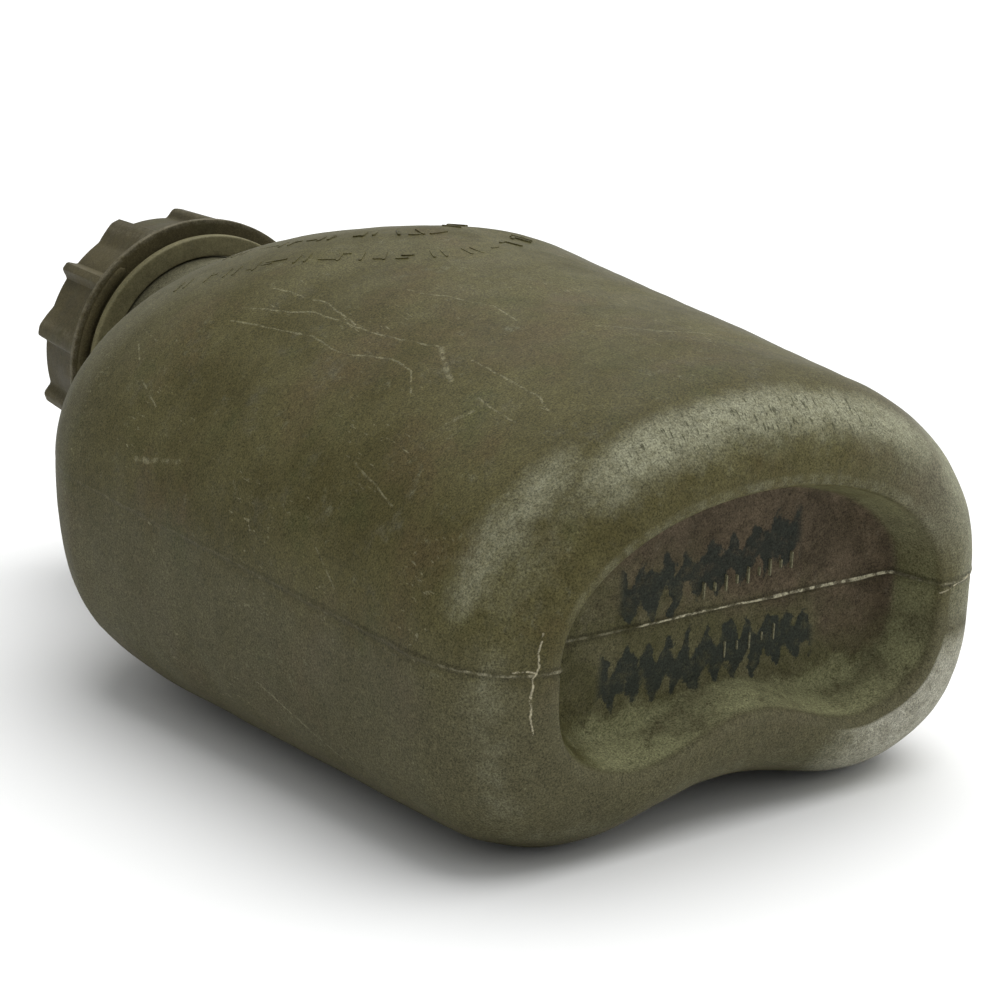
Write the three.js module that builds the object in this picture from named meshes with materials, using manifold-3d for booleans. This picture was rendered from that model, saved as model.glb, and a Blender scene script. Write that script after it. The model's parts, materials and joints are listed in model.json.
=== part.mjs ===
// A one-quart field canteen lying on its hollow back: a blow-moulded kidney-shaped bottle,
// a lugged screw cap with a drinking port under a flip cover, and the strap that keeps the cap.
// Millimetres. +Z is up, +Y runs from the base to the cap, +X is across the bottle.

import * as THREE from 'three';
import { mergeVertices } from 'three/addons/utils/BufferGeometryUtils.js';
import Module from 'manifold-3d';

const wasm = await Module();
wasm.setup();

// ---- bottle shell -------------------------------------------------------------------------
const WALL = 2.0;
const HALF_WIDTH = { base: 54.7, shoulder: 62.0 };
const FRONT = { base: 37.6, shoulder: 44.6 };      // height of the rounded front over the parting plane
const BACK = { base: 36.6, shoulder: 43.7 };       // depth of the back lobes under it
const DENT = { base: 6.3, shoulder: 4.7, halfWidth: 40.6 };   // hollow down the middle of the back
const FRONT_ROUND = 2.03;                          // superellipse powers of the two half sections
const BACK_ROUND = 3.74;
const NECK_ROOT_Y = 161.0;
const NECK_ROOT_R = 23.5;
const SHOULDER = {                                 // length and power of each shoulder curve
  side: { length: 40.7, power: 1.72 },
  front: { length: 61.3, power: 1.36 },
  back: { length: 60.0, power: 1.82 },
};
const ROUND_OFF = 49.2;                            // length over which the section turns circular
const RIM = { height: 16.3, inset: 13.3 };         // rounding round the foot of the bottle
const RECESS = { inset: 14.7, depth: 9.4, round: 3.0, slope: 3.2 };

// ---- neck, thread and cap, as radius and height above the foot -----------------------------
const GAP = 0.3;
const NECK_R = 22.9;
const BORE_R = 19.6;
const MOUTH_Y = 200.0;
const BEAD = { r: 24.4, y0: 171.6, y1: 174.2 };
const PITCH = 5.0;
const THREAD = { turns: 1.6, start: 189.4, depth: 1.5, foot: 2.4, crest: 1.2 };

const FLANGE = { r: 30.5, y: 184.7, thick: 1.3 };
const CAP_BORE_R = 24.9;
const CAP_CEILING_Y = 202.4;
const CAP_TOP_Y = 205.2;
const CAP_FOOT_R = 28.2;                           // valley radius just over the flange
const CAP_EDGE_R = 27.2;                           // valley radius at the top edge
const LUGS = { count: 12, phase: 20.3, height: 2.2, halfCrest: 2.3, draft: 15, parting: 140.3 };
const BOSS = { r: 18.6, lip: 19.6, y: 210.1 };
const PORT = { r: 11.2, outer: 13.2, ledge: 9.2, ledgeY: 196.2, foot: 193.2 };

const GASKET = { inner: 18.6, outer: 24.5, y0: 200.3, y1: 202.1 };
const PIN_SEAT = { r: 10.8, y0: 196.5, y1: 198.3, pin: 2.0, tip: 207.6, holes: 6, holeR: 1.6, holesAt: 6.2 };
const PORT_SEAL = { inner: 9.0, outer: 10.8, y0: 198.6, y1: 203.4 };

const COVER = { r: 18.2, y0: 210.4, y1: 213.4, plug: 9.5, plugBore: 6.4, plugY: 206.6, tab: 5.5 };
const PLUG_SEAL = { inner: 9.8, outer: 10.7, y0: 208.4, y1: 210.1 };
const HINGE = { offset: 20.6, y: 212.8, knuckle: 2.4, pin: 1.1, hole: 1.45, width: 6.0, ear: 3.2 };

const TETHER = { ringIn: 23.3, ringOut: 27.7, y0: 180.9, y1: 182.7 };
const LOOP = { inner: 19.0, outer: 23.2, y0: 205.6, y1: 208.4 };
const STRAP = { width: 9.0, thick: 1.8, angle: -48, bulge: 46.0 };

const BACK_TILT = Math.atan((BACK.shoulder - BACK.base) / (NECK_ROOT_Y - SHOULDER.back.length));

// ---- materials ------------------------------------------------------------------------------
const plastic = (name, color, roughness) =>
  new THREE.MeshStandardMaterial({ name, color, roughness, metalness: 0 });
const OLIVE = plastic('olive_bottle', 0x5a5437, 0.55);
const CAP_OLIVE = plastic('olive_cap', 0x5b5036, 0.5);
const STRAP_OLIVE = plastic('olive_strap', 0x5c5b3a, 0.6);
const RUBBER = plastic('black_rubber', 0x1b1b19, 0.75);
const STEEL = new THREE.MeshStandardMaterial({ name: 'steel', color: 0x9a9a96, roughness: 0.35, metalness: 1 });

// ---- mesh helpers ---------------------------------------------------------------------------
const TAU = Math.PI * 2;
const rad = THREE.MathUtils.degToRad;

// A closed skin through rings of equal count. Its ends are filled, or joined when it is a loop.
function skin(rings, isLoop = false) {
  const n = rings[0].length;
  const points = rings.flat();
  const index = [];
  const spans = isLoop ? rings.length : rings.length - 1;
  for (let i = 0; i < spans; i += 1) {
    const lower = i * n;
    const upper = ((i + 1) % rings.length) * n;
    for (let j = 0; j < n; j += 1) {
      const k = (j + 1) % n;
      index.push(lower + j, upper + j, upper + k, lower + j, upper + k, lower + k);
    }
  }
  if (!isLoop) {
    for (const [start, flip] of [[0, false], [(rings.length - 1) * n, true]]) {
      const centre = points.length;
      const middle = new THREE.Vector3();
      for (let j = 0; j < n; j += 1) middle.addScaledVector(points[start + j], 1 / n);
      points.push(middle);
      for (let j = 0; j < n; j += 1) {
        const k = (j + 1) % n;
        index.push(centre, start + (flip ? k : j), start + (flip ? j : k));
      }
    }
  }
  const geometry = new THREE.BufferGeometry().setFromPoints(points);
  geometry.setIndex(index);
  return geometry;
}

function toSolid(geometry) {
  const bare = geometry.clone();
  for (const name of ['normal', 'uv']) bare.deleteAttribute(name);
  const merged = mergeVertices(bare, 1e-4);
  const solid = new wasm.Manifold(new wasm.Mesh({
    numProp: 3,
    vertProperties: new Float32Array(merged.attributes.position.array),
    triVerts: new Uint32Array(merged.index.array),
  }));
  return solid;
}

function toGeometry(solid) {
  const { vertProperties, triVerts } = solid.getMesh();
  const geometry = new THREE.BufferGeometry();
  geometry.setAttribute('position', new THREE.BufferAttribute(vertProperties, 3));
  geometry.setIndex(new THREE.BufferAttribute(triVerts, 1));
  return geometry;
}

function combine(base, added = [], cut = []) {
  let solid = toSolid(base);
  for (const piece of added) solid = solid.add(toSolid(piece));
  for (const piece of cut) solid = solid.subtract(toSolid(piece));
  return toGeometry(solid);
}

// Turned pieces: a profile of [radius, height] points, turned round the neck axis (+Y).
function turned(profile, segments = 48) {
  const points = profile.map(([r, y]) => new THREE.Vector2(r, y));
  const onAxis = profile[0][0] === 0;
  return new THREE.LatheGeometry(onAxis ? points : [...points, points[0]], segments);
}

const washer = (inner, outer, y0, y1, segments = 48) =>
  turned([[inner, y0], [outer, y0], [outer, y1], [inner, y1]], segments);

// ---- bottle ---------------------------------------------------------------------------------
const AROUND = 52;

function edgeHeight(y, { base, shoulder }, { length, power }) {
  const along = THREE.MathUtils.clamp(y / (NECK_ROOT_Y - length), 0, 1);
  const straight = base + (shoulder - base) * along;
  const u = THREE.MathUtils.clamp((y - (NECK_ROOT_Y - length)) / length, 0, 1);
  return NECK_ROOT_R + (straight - NECK_ROOT_R) * (1 - u ** power) ** (1 / power);
}

// One ring of the bottle at height y, drawn in by inset all round.
function section(y, inset) {
  const side = edgeHeight(y, HALF_WIDTH, SHOULDER.side) - inset;
  const front = edgeHeight(y, FRONT, SHOULDER.front) - inset;
  const back = edgeHeight(y, BACK, SHOULDER.back) - inset;
  const fade = THREE.MathUtils.smoothstep(NECK_ROOT_Y - y, 0, ROUND_OFF);
  const dent = (DENT.base + (DENT.shoulder - DENT.base) * y / NECK_ROOT_Y) * fade;
  const dentHalf = DENT.halfWidth * side / HALF_WIDTH.shoulder;
  const ring = [];
  for (let i = 0; i < AROUND; i += 1) {
    const t = TAU * i / AROUND;
    const isFront = Math.sin(t) >= 0;
    const power = 2 / (2 + ((isFront ? FRONT_ROUND : BACK_ROUND) - 2) * fade);
    const x = side * Math.sign(Math.cos(t)) * Math.abs(Math.cos(t)) ** power;
    const rise = Math.abs(Math.sin(t)) ** power;
    const hollow = dent * (1 + Math.cos(Math.PI * Math.min(Math.abs(x) / dentHalf, 1))) / 2;
    ring.push(new THREE.Vector3(x, y, isFront ? front * rise : (hollow - back) * rise));
  }
  return ring;
}

const atHeight = (ring, y) => ring.map((p) => new THREE.Vector3(p.x, y, p.z));
const rimInset = (y, height, inset) =>
  inset * (1 - Math.sqrt(Math.max(1 - (Math.max(height - y, 0) / height) ** 2, 0)));

// Heights up one side of the bottle, from the foot to the neck root.
function sideHeights(start, rimSteps, bodySteps, shoulderSteps) {
  const heights = [];
  const shoulderY = NECK_ROOT_Y - SHOULDER.front.length;
  for (let i = 1; i <= rimSteps; i += 1) {
    heights.push(start + (RIM.height - start) * (1 - Math.cos(Math.PI / 2 * i / rimSteps)));
  }
  for (let i = 1; i < bodySteps; i += 1) {
    heights.push(RIM.height + (shoulderY - RIM.height) * i / bodySteps);
  }
  for (let i = 0; i <= shoulderSteps; i += 1) {
    heights.push(shoulderY + SHOULDER.front.length * Math.sin(Math.PI / 2 * i / shoulderSteps));
  }
  return heights;
}

const neckRing = (r, y) => Array.from({ length: AROUND }, (_, i) => {
  const t = TAU * i / AROUND;
  return new THREE.Vector3(r * Math.cos(t), y, r * Math.sin(t));
});

function bottleOuter() {
  const rings = [
    atHeight(section(0, RECESS.inset + RECESS.slope + 14), RECESS.depth),
    atHeight(section(0, RECESS.inset + RECESS.slope + RECESS.round), RECESS.depth),
    atHeight(section(0, RECESS.inset + RECESS.slope), RECESS.depth - RECESS.round * 0.8),
    atHeight(section(0, RECESS.inset + 1), 1.2),
    section(0, RECESS.inset),
    section(0, RIM.inset),
  ];
  for (const y of sideHeights(0, 5, 4, 11)) rings.push(section(y, rimInset(y, RIM.height, RIM.inset)));
  return rings;
}

function bottleNeck() {
  return [
    [NECK_ROOT_R + 1.2, NECK_ROOT_Y + 0.8], [NECK_R + 0.7, NECK_ROOT_Y + 4.5], [NECK_R, BEAD.y0 - 0.8],
    [BEAD.r, BEAD.y0], [BEAD.r, BEAD.y1],
    [NECK_R, BEAD.y1 + 0.8], [NECK_R, MOUTH_Y - 0.6], [NECK_R - 0.6, MOUTH_Y],
    [BORE_R + 0.4, MOUTH_Y], [BORE_R, MOUTH_Y - 0.4], [BORE_R, NECK_ROOT_Y + 1.0],
  ].map(([r, y]) => neckRing(r, y));
}

function bottleInner() {
  const height = RIM.height - WALL;
  const inset = RIM.inset - WALL;
  const rings = sideHeights(WALL, 4, 3, 8).map((y) =>
    section(y, WALL + rimInset(y - WALL, height, inset))).reverse();
  const floor = RECESS.depth + WALL;
  rings.push(
    atHeight(section(0, RECESS.inset - WALL * 0.5), WALL + 0.6),
    atHeight(section(0, RECESS.inset + RECESS.slope - WALL), floor - RECESS.round),
    atHeight(section(0, RECESS.inset + RECESS.slope + RECESS.round - 1), floor),
    atHeight(section(0, RECESS.inset + RECESS.slope + 14), floor),
  );
  return rings;
}

// A helical ridge round the neck axis. Its foot sits in the wall and its crest stands off it.
function ridge(wallR, crestR, { start, turns }, foot, crest) {
  const steps = Math.round(turns * 30);
  const bury = Math.sign(wallR - crestR) * 0.8;
  const rings = [];
  for (let i = 0; i <= steps; i += 1) {
    const angle = TAU * turns * i / steps;
    const fromEnd = Math.min(i, steps - i) / 3;
    const grow = Math.min(0.15 + fromEnd, 1);
    const y = start + PITCH * angle / TAU;
    const r = wallR + (crestR - wallR) * grow;
    const profile = [[wallR + bury, -foot / 2], [wallR, -foot / 2], [r, -crest / 2], [r, crest / 2],
      [wallR, foot / 2], [wallR + bury, foot / 2]];
    if (bury > 0) profile.reverse();
    rings.push(profile.map(([pr, py]) => new THREE.Vector3(pr * Math.sin(angle), y + py, pr * Math.cos(angle))));
  }
  return skin(rings);
}

function bottle() {
  const shell = skin([...bottleOuter(), ...bottleNeck(), ...bottleInner()]);
  const thread = ridge(NECK_R, NECK_R + THREAD.depth, THREAD, THREAD.foot, THREAD.crest);
  return combine(shell, [thread]);
}

// ---- cap ------------------------------------------------------------------------------------
// The cap is moulded in two halves that part along LUGS.parting and pull square to it. A lug's flank
// that would catch in its half lies along the pull instead, and every other flank has a steep draft.
function lugFlank(lugAngle, side) {
  const fromPull = THREE.MathUtils.euclideanModulo(lugAngle - LUGS.parting, 180) - 90;
  const catches = side * fromPull > 0 && Math.abs(fromPull) < 80;
  const lean = rad(catches ? Math.max(Math.abs(fromPull), LUGS.draft) : LUGS.draft);
  const tip = CAP_EDGE_R + LUGS.height;
  const inward = tip * Math.cos(lean);
  const slope = inward - Math.sqrt(inward ** 2 - (tip ** 2 - CAP_EDGE_R ** 2));
  return Math.atan2(slope * Math.sin(lean), tip - slope * Math.cos(lean));
}

// Angles round the cap and the share of a lug's height that stands at each.
const LUG_OUTLINE = Array.from({ length: LUGS.count }, (_, i) => {
  const degrees = LUGS.phase + 360 * i / LUGS.count;
  const half = rad(LUGS.halfCrest);
  const offsets = [[-Math.PI / LUGS.count, 0], [-half - lugFlank(degrees, -1), 0], [-half, 1],
    [half, 1], [half + lugFlank(degrees, 1), 0]];
  return offsets.map(([offset, rise]) => [rad(degrees) + offset, rise]);
}).flat();

const cappedRing = (r, y, lug) => LUG_OUTLINE.map(([angle, rise]) =>
  new THREE.Vector3((r + lug * rise) * Math.cos(angle), y, (r + lug * rise) * Math.sin(angle)));

function capShell() {
  const flangeTop = FLANGE.y + FLANGE.thick;
  const profile = [
    [CAP_BORE_R, FLANGE.y + 1.4, 0], [CAP_BORE_R + 1.2, FLANGE.y, 0], [FLANGE.r, FLANGE.y, 0],
    [FLANGE.r, flangeTop, 0], [CAP_FOOT_R, flangeTop + 0.4, LUGS.height - 0.2],
    [CAP_EDGE_R, CAP_TOP_Y - 0.8, LUGS.height], [CAP_EDGE_R - 0.5, CAP_TOP_Y - 0.15, LUGS.height * 0.8],
    [CAP_EDGE_R - 1.6, CAP_TOP_Y, 0], [BOSS.r, CAP_TOP_Y, 0], [BOSS.r, BOSS.y - 1.4, 0],
    [BOSS.lip, BOSS.y - 1.0, 0], [BOSS.lip, BOSS.y, 0], [PORT.r, BOSS.y, 0], [PORT.r, PORT.ledgeY, 0],
    [PORT.ledge, PORT.ledgeY, 0], [PORT.ledge, PORT.foot, 0], [PORT.outer, PORT.foot, 0],
    [PORT.outer, CAP_CEILING_Y, 0], [CAP_BORE_R, CAP_CEILING_Y, 0],
  ];
  const shell = skin(profile.map(([r, y, lug]) => cappedRing(r, y, lug)), true);
  const meshing = { start: THREAD.start - PITCH / 2, turns: THREAD.turns };
  const thread = ridge(CAP_BORE_R, CAP_BORE_R - THREAD.depth, meshing, THREAD.foot - 0.2, THREAD.crest - 0.2);
  return combine(shell, [thread, ...hingeEars()], [hingeHole()]);
}

// ---- flip cover and its hinge, across the top of the cap --------------------------------------
const acrossX = (geometry, x = 0) =>
  geometry.rotateZ(Math.PI / 2).translate(x, HINGE.y, HINGE.offset);

const hingeHole = () => acrossX(new THREE.CylinderGeometry(HINGE.hole, HINGE.hole, 30, 16));

function knuckle(width, x, footDepth, footY) {
  const barrel = acrossX(new THREE.CylinderGeometry(HINGE.knuckle, HINGE.knuckle, width, 20), x);
  const foot = new THREE.BoxGeometry(width, HINGE.y - footY, footDepth);
  foot.translate(x, (HINGE.y + footY) / 2, HINGE.offset - HINGE.knuckle + footDepth / 2);
  return [barrel, foot];
}

function hingeEars() {
  const x = HINGE.width / 2 + GAP + HINGE.ear / 2;
  const shelf = new THREE.BoxGeometry(2 * x + HINGE.ear, 1.2, 6);
  shelf.translate(0, BOSS.y - 0.6, HINGE.offset - 0.8);
  return [shelf, ...[-x, x].flatMap((at) => knuckle(HINGE.ear, at, 2 * HINGE.knuckle, BOSS.y - 0.8))];
}

const hingePin = () => acrossX(new THREE.CylinderGeometry(HINGE.pin, HINGE.pin, HINGE.width + 2 * HINGE.ear + 1.6, 16));

function flipCover() {
  const lid = turned([
    [0, COVER.y0], [COVER.plugBore, COVER.y0], [COVER.plugBore, COVER.plugY], [COVER.plug, COVER.plugY],
    [COVER.plug, COVER.y0], [COVER.r - 0.5, COVER.y0], [COVER.r, COVER.y0 + 0.5],
    [COVER.r, COVER.y1 - 1.0], [COVER.r - 1.0, COVER.y1], [0, COVER.y1],
  ]);
  const tab = new THREE.BoxGeometry(9, 1.8, COVER.tab + 2);
  tab.translate(0, COVER.y0 + 1.1, -COVER.r - COVER.tab / 2 + 1);
  const web = new THREE.BoxGeometry(HINGE.width, COVER.y1 - COVER.y0 - 0.8, HINGE.offset - COVER.r + 2);
  web.translate(0, (COVER.y0 + COVER.y1) / 2, (HINGE.offset + COVER.r) / 2 - 1);
  const barrel = acrossX(new THREE.CylinderGeometry(HINGE.knuckle - 0.3, HINGE.knuckle - 0.3, HINGE.width, 20));
  return combine(lid, [tab, web, barrel], [hingeHole()]);
}

// ---- drinking port ----------------------------------------------------------------------------
function pinSeat() {
  const seat = turned([
    [0, PIN_SEAT.y0], [PIN_SEAT.r, PIN_SEAT.y0], [PIN_SEAT.r, PIN_SEAT.y1], [PIN_SEAT.pin + 0.8, PIN_SEAT.y1],
    [PIN_SEAT.pin, PIN_SEAT.y1 + 1], [PIN_SEAT.pin, PIN_SEAT.tip - 1.5], [PIN_SEAT.pin - 1, PIN_SEAT.tip],
    [0, PIN_SEAT.tip],
  ], 36);
  const holes = Array.from({ length: PIN_SEAT.holes }, (_, i) => {
    const t = TAU * i / PIN_SEAT.holes;
    const drill = new THREE.CylinderGeometry(PIN_SEAT.holeR, PIN_SEAT.holeR, 6, 14);
    return drill.translate(PIN_SEAT.holesAt * Math.cos(t), PIN_SEAT.y0 + 0.9, PIN_SEAT.holesAt * Math.sin(t));
  });
  return combine(seat, [], holes);
}

// ---- tether: a neck ring and a cap loop, joined by one strap ------------------------------------
// The strap's side view, as radius and height, thickened and cut at its middle.
function strapHalf(from, to) {
  const centre = new THREE.CatmullRomCurve3([
    [TETHER.ringOut - 1.2, 181.8], [34.0, 180.8], [41.5, 182.8], [STRAP.bulge, 189.2],
    [STRAP.bulge - 0.4, 198.4], [40.6, 206.0], [33.4, 208.4], [27.0, 207.3], [LOOP.outer - 1.4, 207.0],
  ].map(([r, y]) => new THREE.Vector3(r, y, 0)));
  const steps = 14;
  const left = [];
  const right = [];
  for (let i = 0; i <= steps; i += 1) {
    const u = from + (to - from) * i / steps;
    const p = centre.getPoint(u);
    const along = centre.getTangent(u);
    const off = new THREE.Vector2(-along.y, along.x).multiplyScalar(STRAP.thick / 2);
    left.push(new THREE.Vector2(p.x + off.x, p.y + off.y));
    right.push(new THREE.Vector2(p.x - off.x, p.y - off.y));
  }
  const outline = new THREE.Shape([...left, ...right.reverse()]);
  const strap = new THREE.ExtrudeGeometry(outline, { depth: STRAP.width, bevelEnabled: false });
  return strap.translate(0, 0, -STRAP.width / 2).rotateY(-rad(STRAP.angle));
}

const tetherNeckRing = () => combine(washer(TETHER.ringIn, TETHER.ringOut, TETHER.y0, TETHER.y1), [strapHalf(0, 0.5)]);
const tetherCapLoop = () => combine(washer(LOOP.inner, LOOP.outer, LOOP.y0, LOOP.y1), [strapHalf(0.506, 1)]);

// ---- assembly -----------------------------------------------------------------------------------
const canteen = new THREE.Group();

function place(name, geometry, material) {
  const mesh = new THREE.Mesh(geometry, material);
  mesh.name = name;
  canteen.add(mesh);
}

place('canteen_body', bottle(), OLIVE);
place('tether_neck_ring', tetherNeckRing(), STRAP_OLIVE);
place('tether_cap_loop', tetherCapLoop(), STRAP_OLIVE);
place('cap_shell', capShell(), CAP_OLIVE);
place('cap_gasket', washer(GASKET.inner, GASKET.outer, GASKET.y0, GASKET.y1), RUBBER);
place('port_pin_seat', pinSeat(), CAP_OLIVE);
place('port_seal', washer(PORT_SEAL.inner, PORT_SEAL.outer, PORT_SEAL.y0, PORT_SEAL.y1), RUBBER);
place('flip_cover', flipCover(), CAP_OLIVE);
place('cover_seal', washer(PLUG_SEAL.inner, PLUG_SEAL.outer, PLUG_SEAL.y0, PLUG_SEAL.y1), RUBBER);
place('cover_hinge_pin', hingePin(), STEEL);

// The bottle lies on its two back lobes, so its neck rises a little; the origin is under its middle.
canteen.rotation.x = BACK_TILT;
const standing = new THREE.Group();
standing.add(canteen);
const box = new THREE.Box3().setFromObject(standing, true);
canteen.position.set(0, -(box.min.y + box.max.y) / 2, -box.min.z);

export default standing;
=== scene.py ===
"""A one-quart field canteen lying on its hollow back: the finished bottle, cap, strap and flip cover."""

import json
import math

import bpy
import numpy as np
from mathutils import Matrix, Vector


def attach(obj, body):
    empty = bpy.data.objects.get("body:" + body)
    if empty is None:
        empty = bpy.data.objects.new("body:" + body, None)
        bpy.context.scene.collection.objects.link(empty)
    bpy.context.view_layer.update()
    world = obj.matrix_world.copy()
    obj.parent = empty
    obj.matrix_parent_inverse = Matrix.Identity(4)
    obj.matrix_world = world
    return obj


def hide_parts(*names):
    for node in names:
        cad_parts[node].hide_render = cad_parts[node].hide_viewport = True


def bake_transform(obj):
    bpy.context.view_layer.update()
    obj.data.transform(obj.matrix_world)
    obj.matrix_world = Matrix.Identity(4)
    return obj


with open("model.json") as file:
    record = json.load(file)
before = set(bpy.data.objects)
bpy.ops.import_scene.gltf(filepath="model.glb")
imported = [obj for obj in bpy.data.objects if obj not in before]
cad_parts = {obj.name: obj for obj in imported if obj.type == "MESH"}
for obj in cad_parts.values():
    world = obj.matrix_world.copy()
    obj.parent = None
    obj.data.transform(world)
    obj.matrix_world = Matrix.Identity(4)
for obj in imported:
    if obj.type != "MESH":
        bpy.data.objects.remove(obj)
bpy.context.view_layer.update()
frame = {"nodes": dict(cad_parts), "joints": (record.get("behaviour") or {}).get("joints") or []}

bl_info = {
    "name": "Field canteen",
    "version": (1, 0, 0),
    "blender": (4, 5, 0),
    "location": "View3D > Sidebar > Canteen",
    "description": "Builds a one-quart field canteen round its packed frame",
    "category": "Add Mesh",
}

MM = 0.001
TAU = 2 * math.pi


def joint(name):
    return next(j for j in frame["joints"] if j["name"] == name)


# The bottle is drawn in its own frame, in millimetres: foot on y = 0, neck axis on +y, rounded front
# towards +z. LYING lays it on its back lobes in the row frame, in metres.
NECK_AXIS = Vector(joint("cap_turn")["axis"]).normalized()
TURN_POINT_Y = 200.0
LYING = (
    Matrix.Translation(Vector(joint("cap_turn")["pos_m"]) - NECK_AXIS * TURN_POINT_Y * MM)
    @ Matrix.Rotation(math.atan2(NECK_AXIS.z, NECK_AXIS.y), 4, "X")
)


def lying(x, y, z):
    """A point of the bottle's own frame, in millimetres, as a point of the row frame, in metres."""
    return LYING @ Vector((x * MM, y * MM, z * MM))


# ---- sizes, in millimetres --------------------------------------------------------------------
WALL = 2.0
HALF_WIDTH = (54.7, 62.0)            # at the foot, at the shoulder
FRONT = (37.6, 44.6)
BACK = (36.6, 43.7)
DENT = (6.3, 4.7)
DENT_HALF_WIDTH = 40.6
FRONT_ROUND, BACK_ROUND = 2.03, 3.74
NECK_ROOT_Y, NECK_ROOT_R = 161.0, 23.5
SIDE_CURVE, FRONT_CURVE, BACK_CURVE = (40.7, 1.72), (61.3, 1.36), (60.0, 1.82)
ROUND_OFF = 49.2
RIM_HEIGHT, RIM_INSET = 16.3, 13.3
RECESS_INSET, RECESS_DEPTH, RECESS_SLOPE = 14.7, 9.4, 3.2
NECK_R, BORE_R, MOUTH_Y = 22.9, 19.6, 200.0
BEAD_R, BEAD_Y = 24.4, (171.6, 174.2)
PITCH = 5.0
THREAD_START, THREAD_TURNS, THREAD_DEPTH = 189.4, 1.6, 1.5

# height of each row at the middle, how fast it bends up, its two ends, how tall its bars are
SHOULDER_ROWS = ((84.0, 0.030, -37.0, 21.0, 4.6), (98.0, 0.055, -24.0, 16.0, 4.2))

FLANGE_R, FLANGE_Y, FLANGE_THICK = 30.5, 184.7, 1.3
CAP_BORE_R, CEILING_Y, CAP_TOP_Y = 24.9, 202.4, 205.2
CAP_FOOT_R, CAP_EDGE_R = 28.2, 27.2
LUG_COUNT, LUG_PHASE, LUG_HEIGHT = 12, 20.3, 2.2
LUG_HALF_CREST, LUG_DRAFT, LUG_BLUR, PARTING = 2.3, 15.0, 0.9, 140.3      # degrees
TONGUE_R, TONGUE_DEEP, TONGUE_ANGLES = (27.2, 29.3), 0.6, (130.0, 222.0)
BOSS_R, BOSS_LIP, BOSS_Y = 18.6, 19.6, 210.1
PORT_R, PORT_OUTER, PORT_LEDGE, LEDGE_Y, PORT_FOOT = 11.2, 13.2, 9.2, 196.2, 193.2

RING_IN, RING_OUT, RING_Y = 23.3, 27.7, (180.9, 182.7)
LOOP_IN, LOOP_OUT, LOOP_Y = 19.0, 23.2, (205.6, 208.4)
STRAP_WIDTH, STRAP_THICK, STRAP_ANGLE = 9.0, 1.8, -48.0
STRAP_PATH = ((26.5, 181.8), (34.0, 180.8), (41.5, 182.8), (46.0, 189.2), (45.6, 198.4),
              (40.6, 206.0), (33.4, 208.4), (27.0, 207.3), (21.8, 207.0))

COVER_R, COVER_Y, COVER_TAB = 18.2, (210.4, 213.4), 5.5
PLUG_R, PLUG_BORE, PLUG_Y = 9.5, 6.4, 206.6
HINGE_Z, HINGE_Y, HINGE_HALF, HINGE_EAR = 20.6, 212.8, 3.0, 3.2


# ---- making meshes --------------------------------------------------------------------------------
def deselect():
    if bpy.context.object and bpy.context.object.mode != "OBJECT":
        bpy.ops.object.mode_set(mode="OBJECT")
    bpy.ops.object.select_all(action="DESELECT")


def only(obj):
    deselect()
    obj.select_set(True)
    bpy.context.view_layer.objects.active = obj


def smooth(a, b, x):
    """0 at a and before, 1 at b and beyond, with a soft slope between."""
    t = np.clip((x - a) / (b - a), 0.0, 1.0)
    return t * t * (3 - 2 * t)


def skin(name, rows, masks=None, loop=False):
    """A closed skin through rows of points, in millimetres: a grid wrapped round and welded.
    masks are numbers for each point that the materials read. A loop joins its last row to its first."""
    rows = np.asarray(rows, float)
    if loop:
        rows = np.concatenate([rows, rows[:1]])
    wrapped = np.concatenate([rows, rows[:, :1]], axis=1)
    deselect()
    across, along = wrapped.shape[1] - 1, wrapped.shape[0] - 1
    bpy.ops.mesh.primitive_grid_add(x_subdivisions=across, y_subdivisions=along, size=1)
    obj = bpy.context.object
    obj.name = obj.data.name = name
    obj.data.vertices.foreach_set("co", (wrapped * MM).reshape(-1).astype(np.float32))
    for key, values in (masks or {}).items():
        values = np.asarray(values, float)
        if loop:
            values = np.concatenate([values, values[:1]])
        values = np.concatenate([values, values[:, :1]], axis=1)
        layer = obj.data.attributes.new(key, "FLOAT", "POINT")
        layer.data.foreach_set("value", values.reshape(-1).astype(np.float32))
    bpy.ops.object.mode_set(mode="EDIT")
    bpy.ops.mesh.select_all(action="SELECT")
    bpy.ops.mesh.remove_doubles(threshold=2e-7)
    bpy.ops.mesh.normals_make_consistent(inside=False)
    bpy.ops.object.mode_set(mode="OBJECT")
    return obj


def capped(rows):
    """Rows of points with a row gathered at the middle added at each end, which closes the skin."""
    rows = np.array(rows)
    middles = np.repeat(rows.mean(axis=1, keepdims=True), rows.shape[1], axis=1)
    return np.concatenate([middles[:1], rows, middles[-1:]])


def shade(obj, angle=40):
    only(obj)
    bpy.ops.object.shade_smooth_by_angle(angle=math.radians(angle))
    return obj


def merge(name, parts):
    """Joins parts into one piece."""
    deselect()
    for part in parts:
        part.select_set(True)
    bpy.context.view_layer.objects.active = parts[0]
    bpy.ops.object.join()
    obj = bpy.context.object
    obj.name = obj.data.name = name
    return obj


def settle(obj, body, slot, material, *nodes):
    """Keeps each point's place in the bottle's own frame, lays the piece down and gives it to its body."""
    mesh = obj.data
    place = mesh.attributes.new("place", "FLOAT_VECTOR", "POINT")
    co = np.empty(len(mesh.vertices) * 3, np.float32)
    mesh.vertices.foreach_get("co", co)
    place.data.foreach_set("vector", co)
    mesh.transform(LYING)
    mesh.materials.clear()
    mesh.materials.append(material)
    if body:
        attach(obj, body)
    if nodes:
        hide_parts(*nodes)
    return obj


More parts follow.
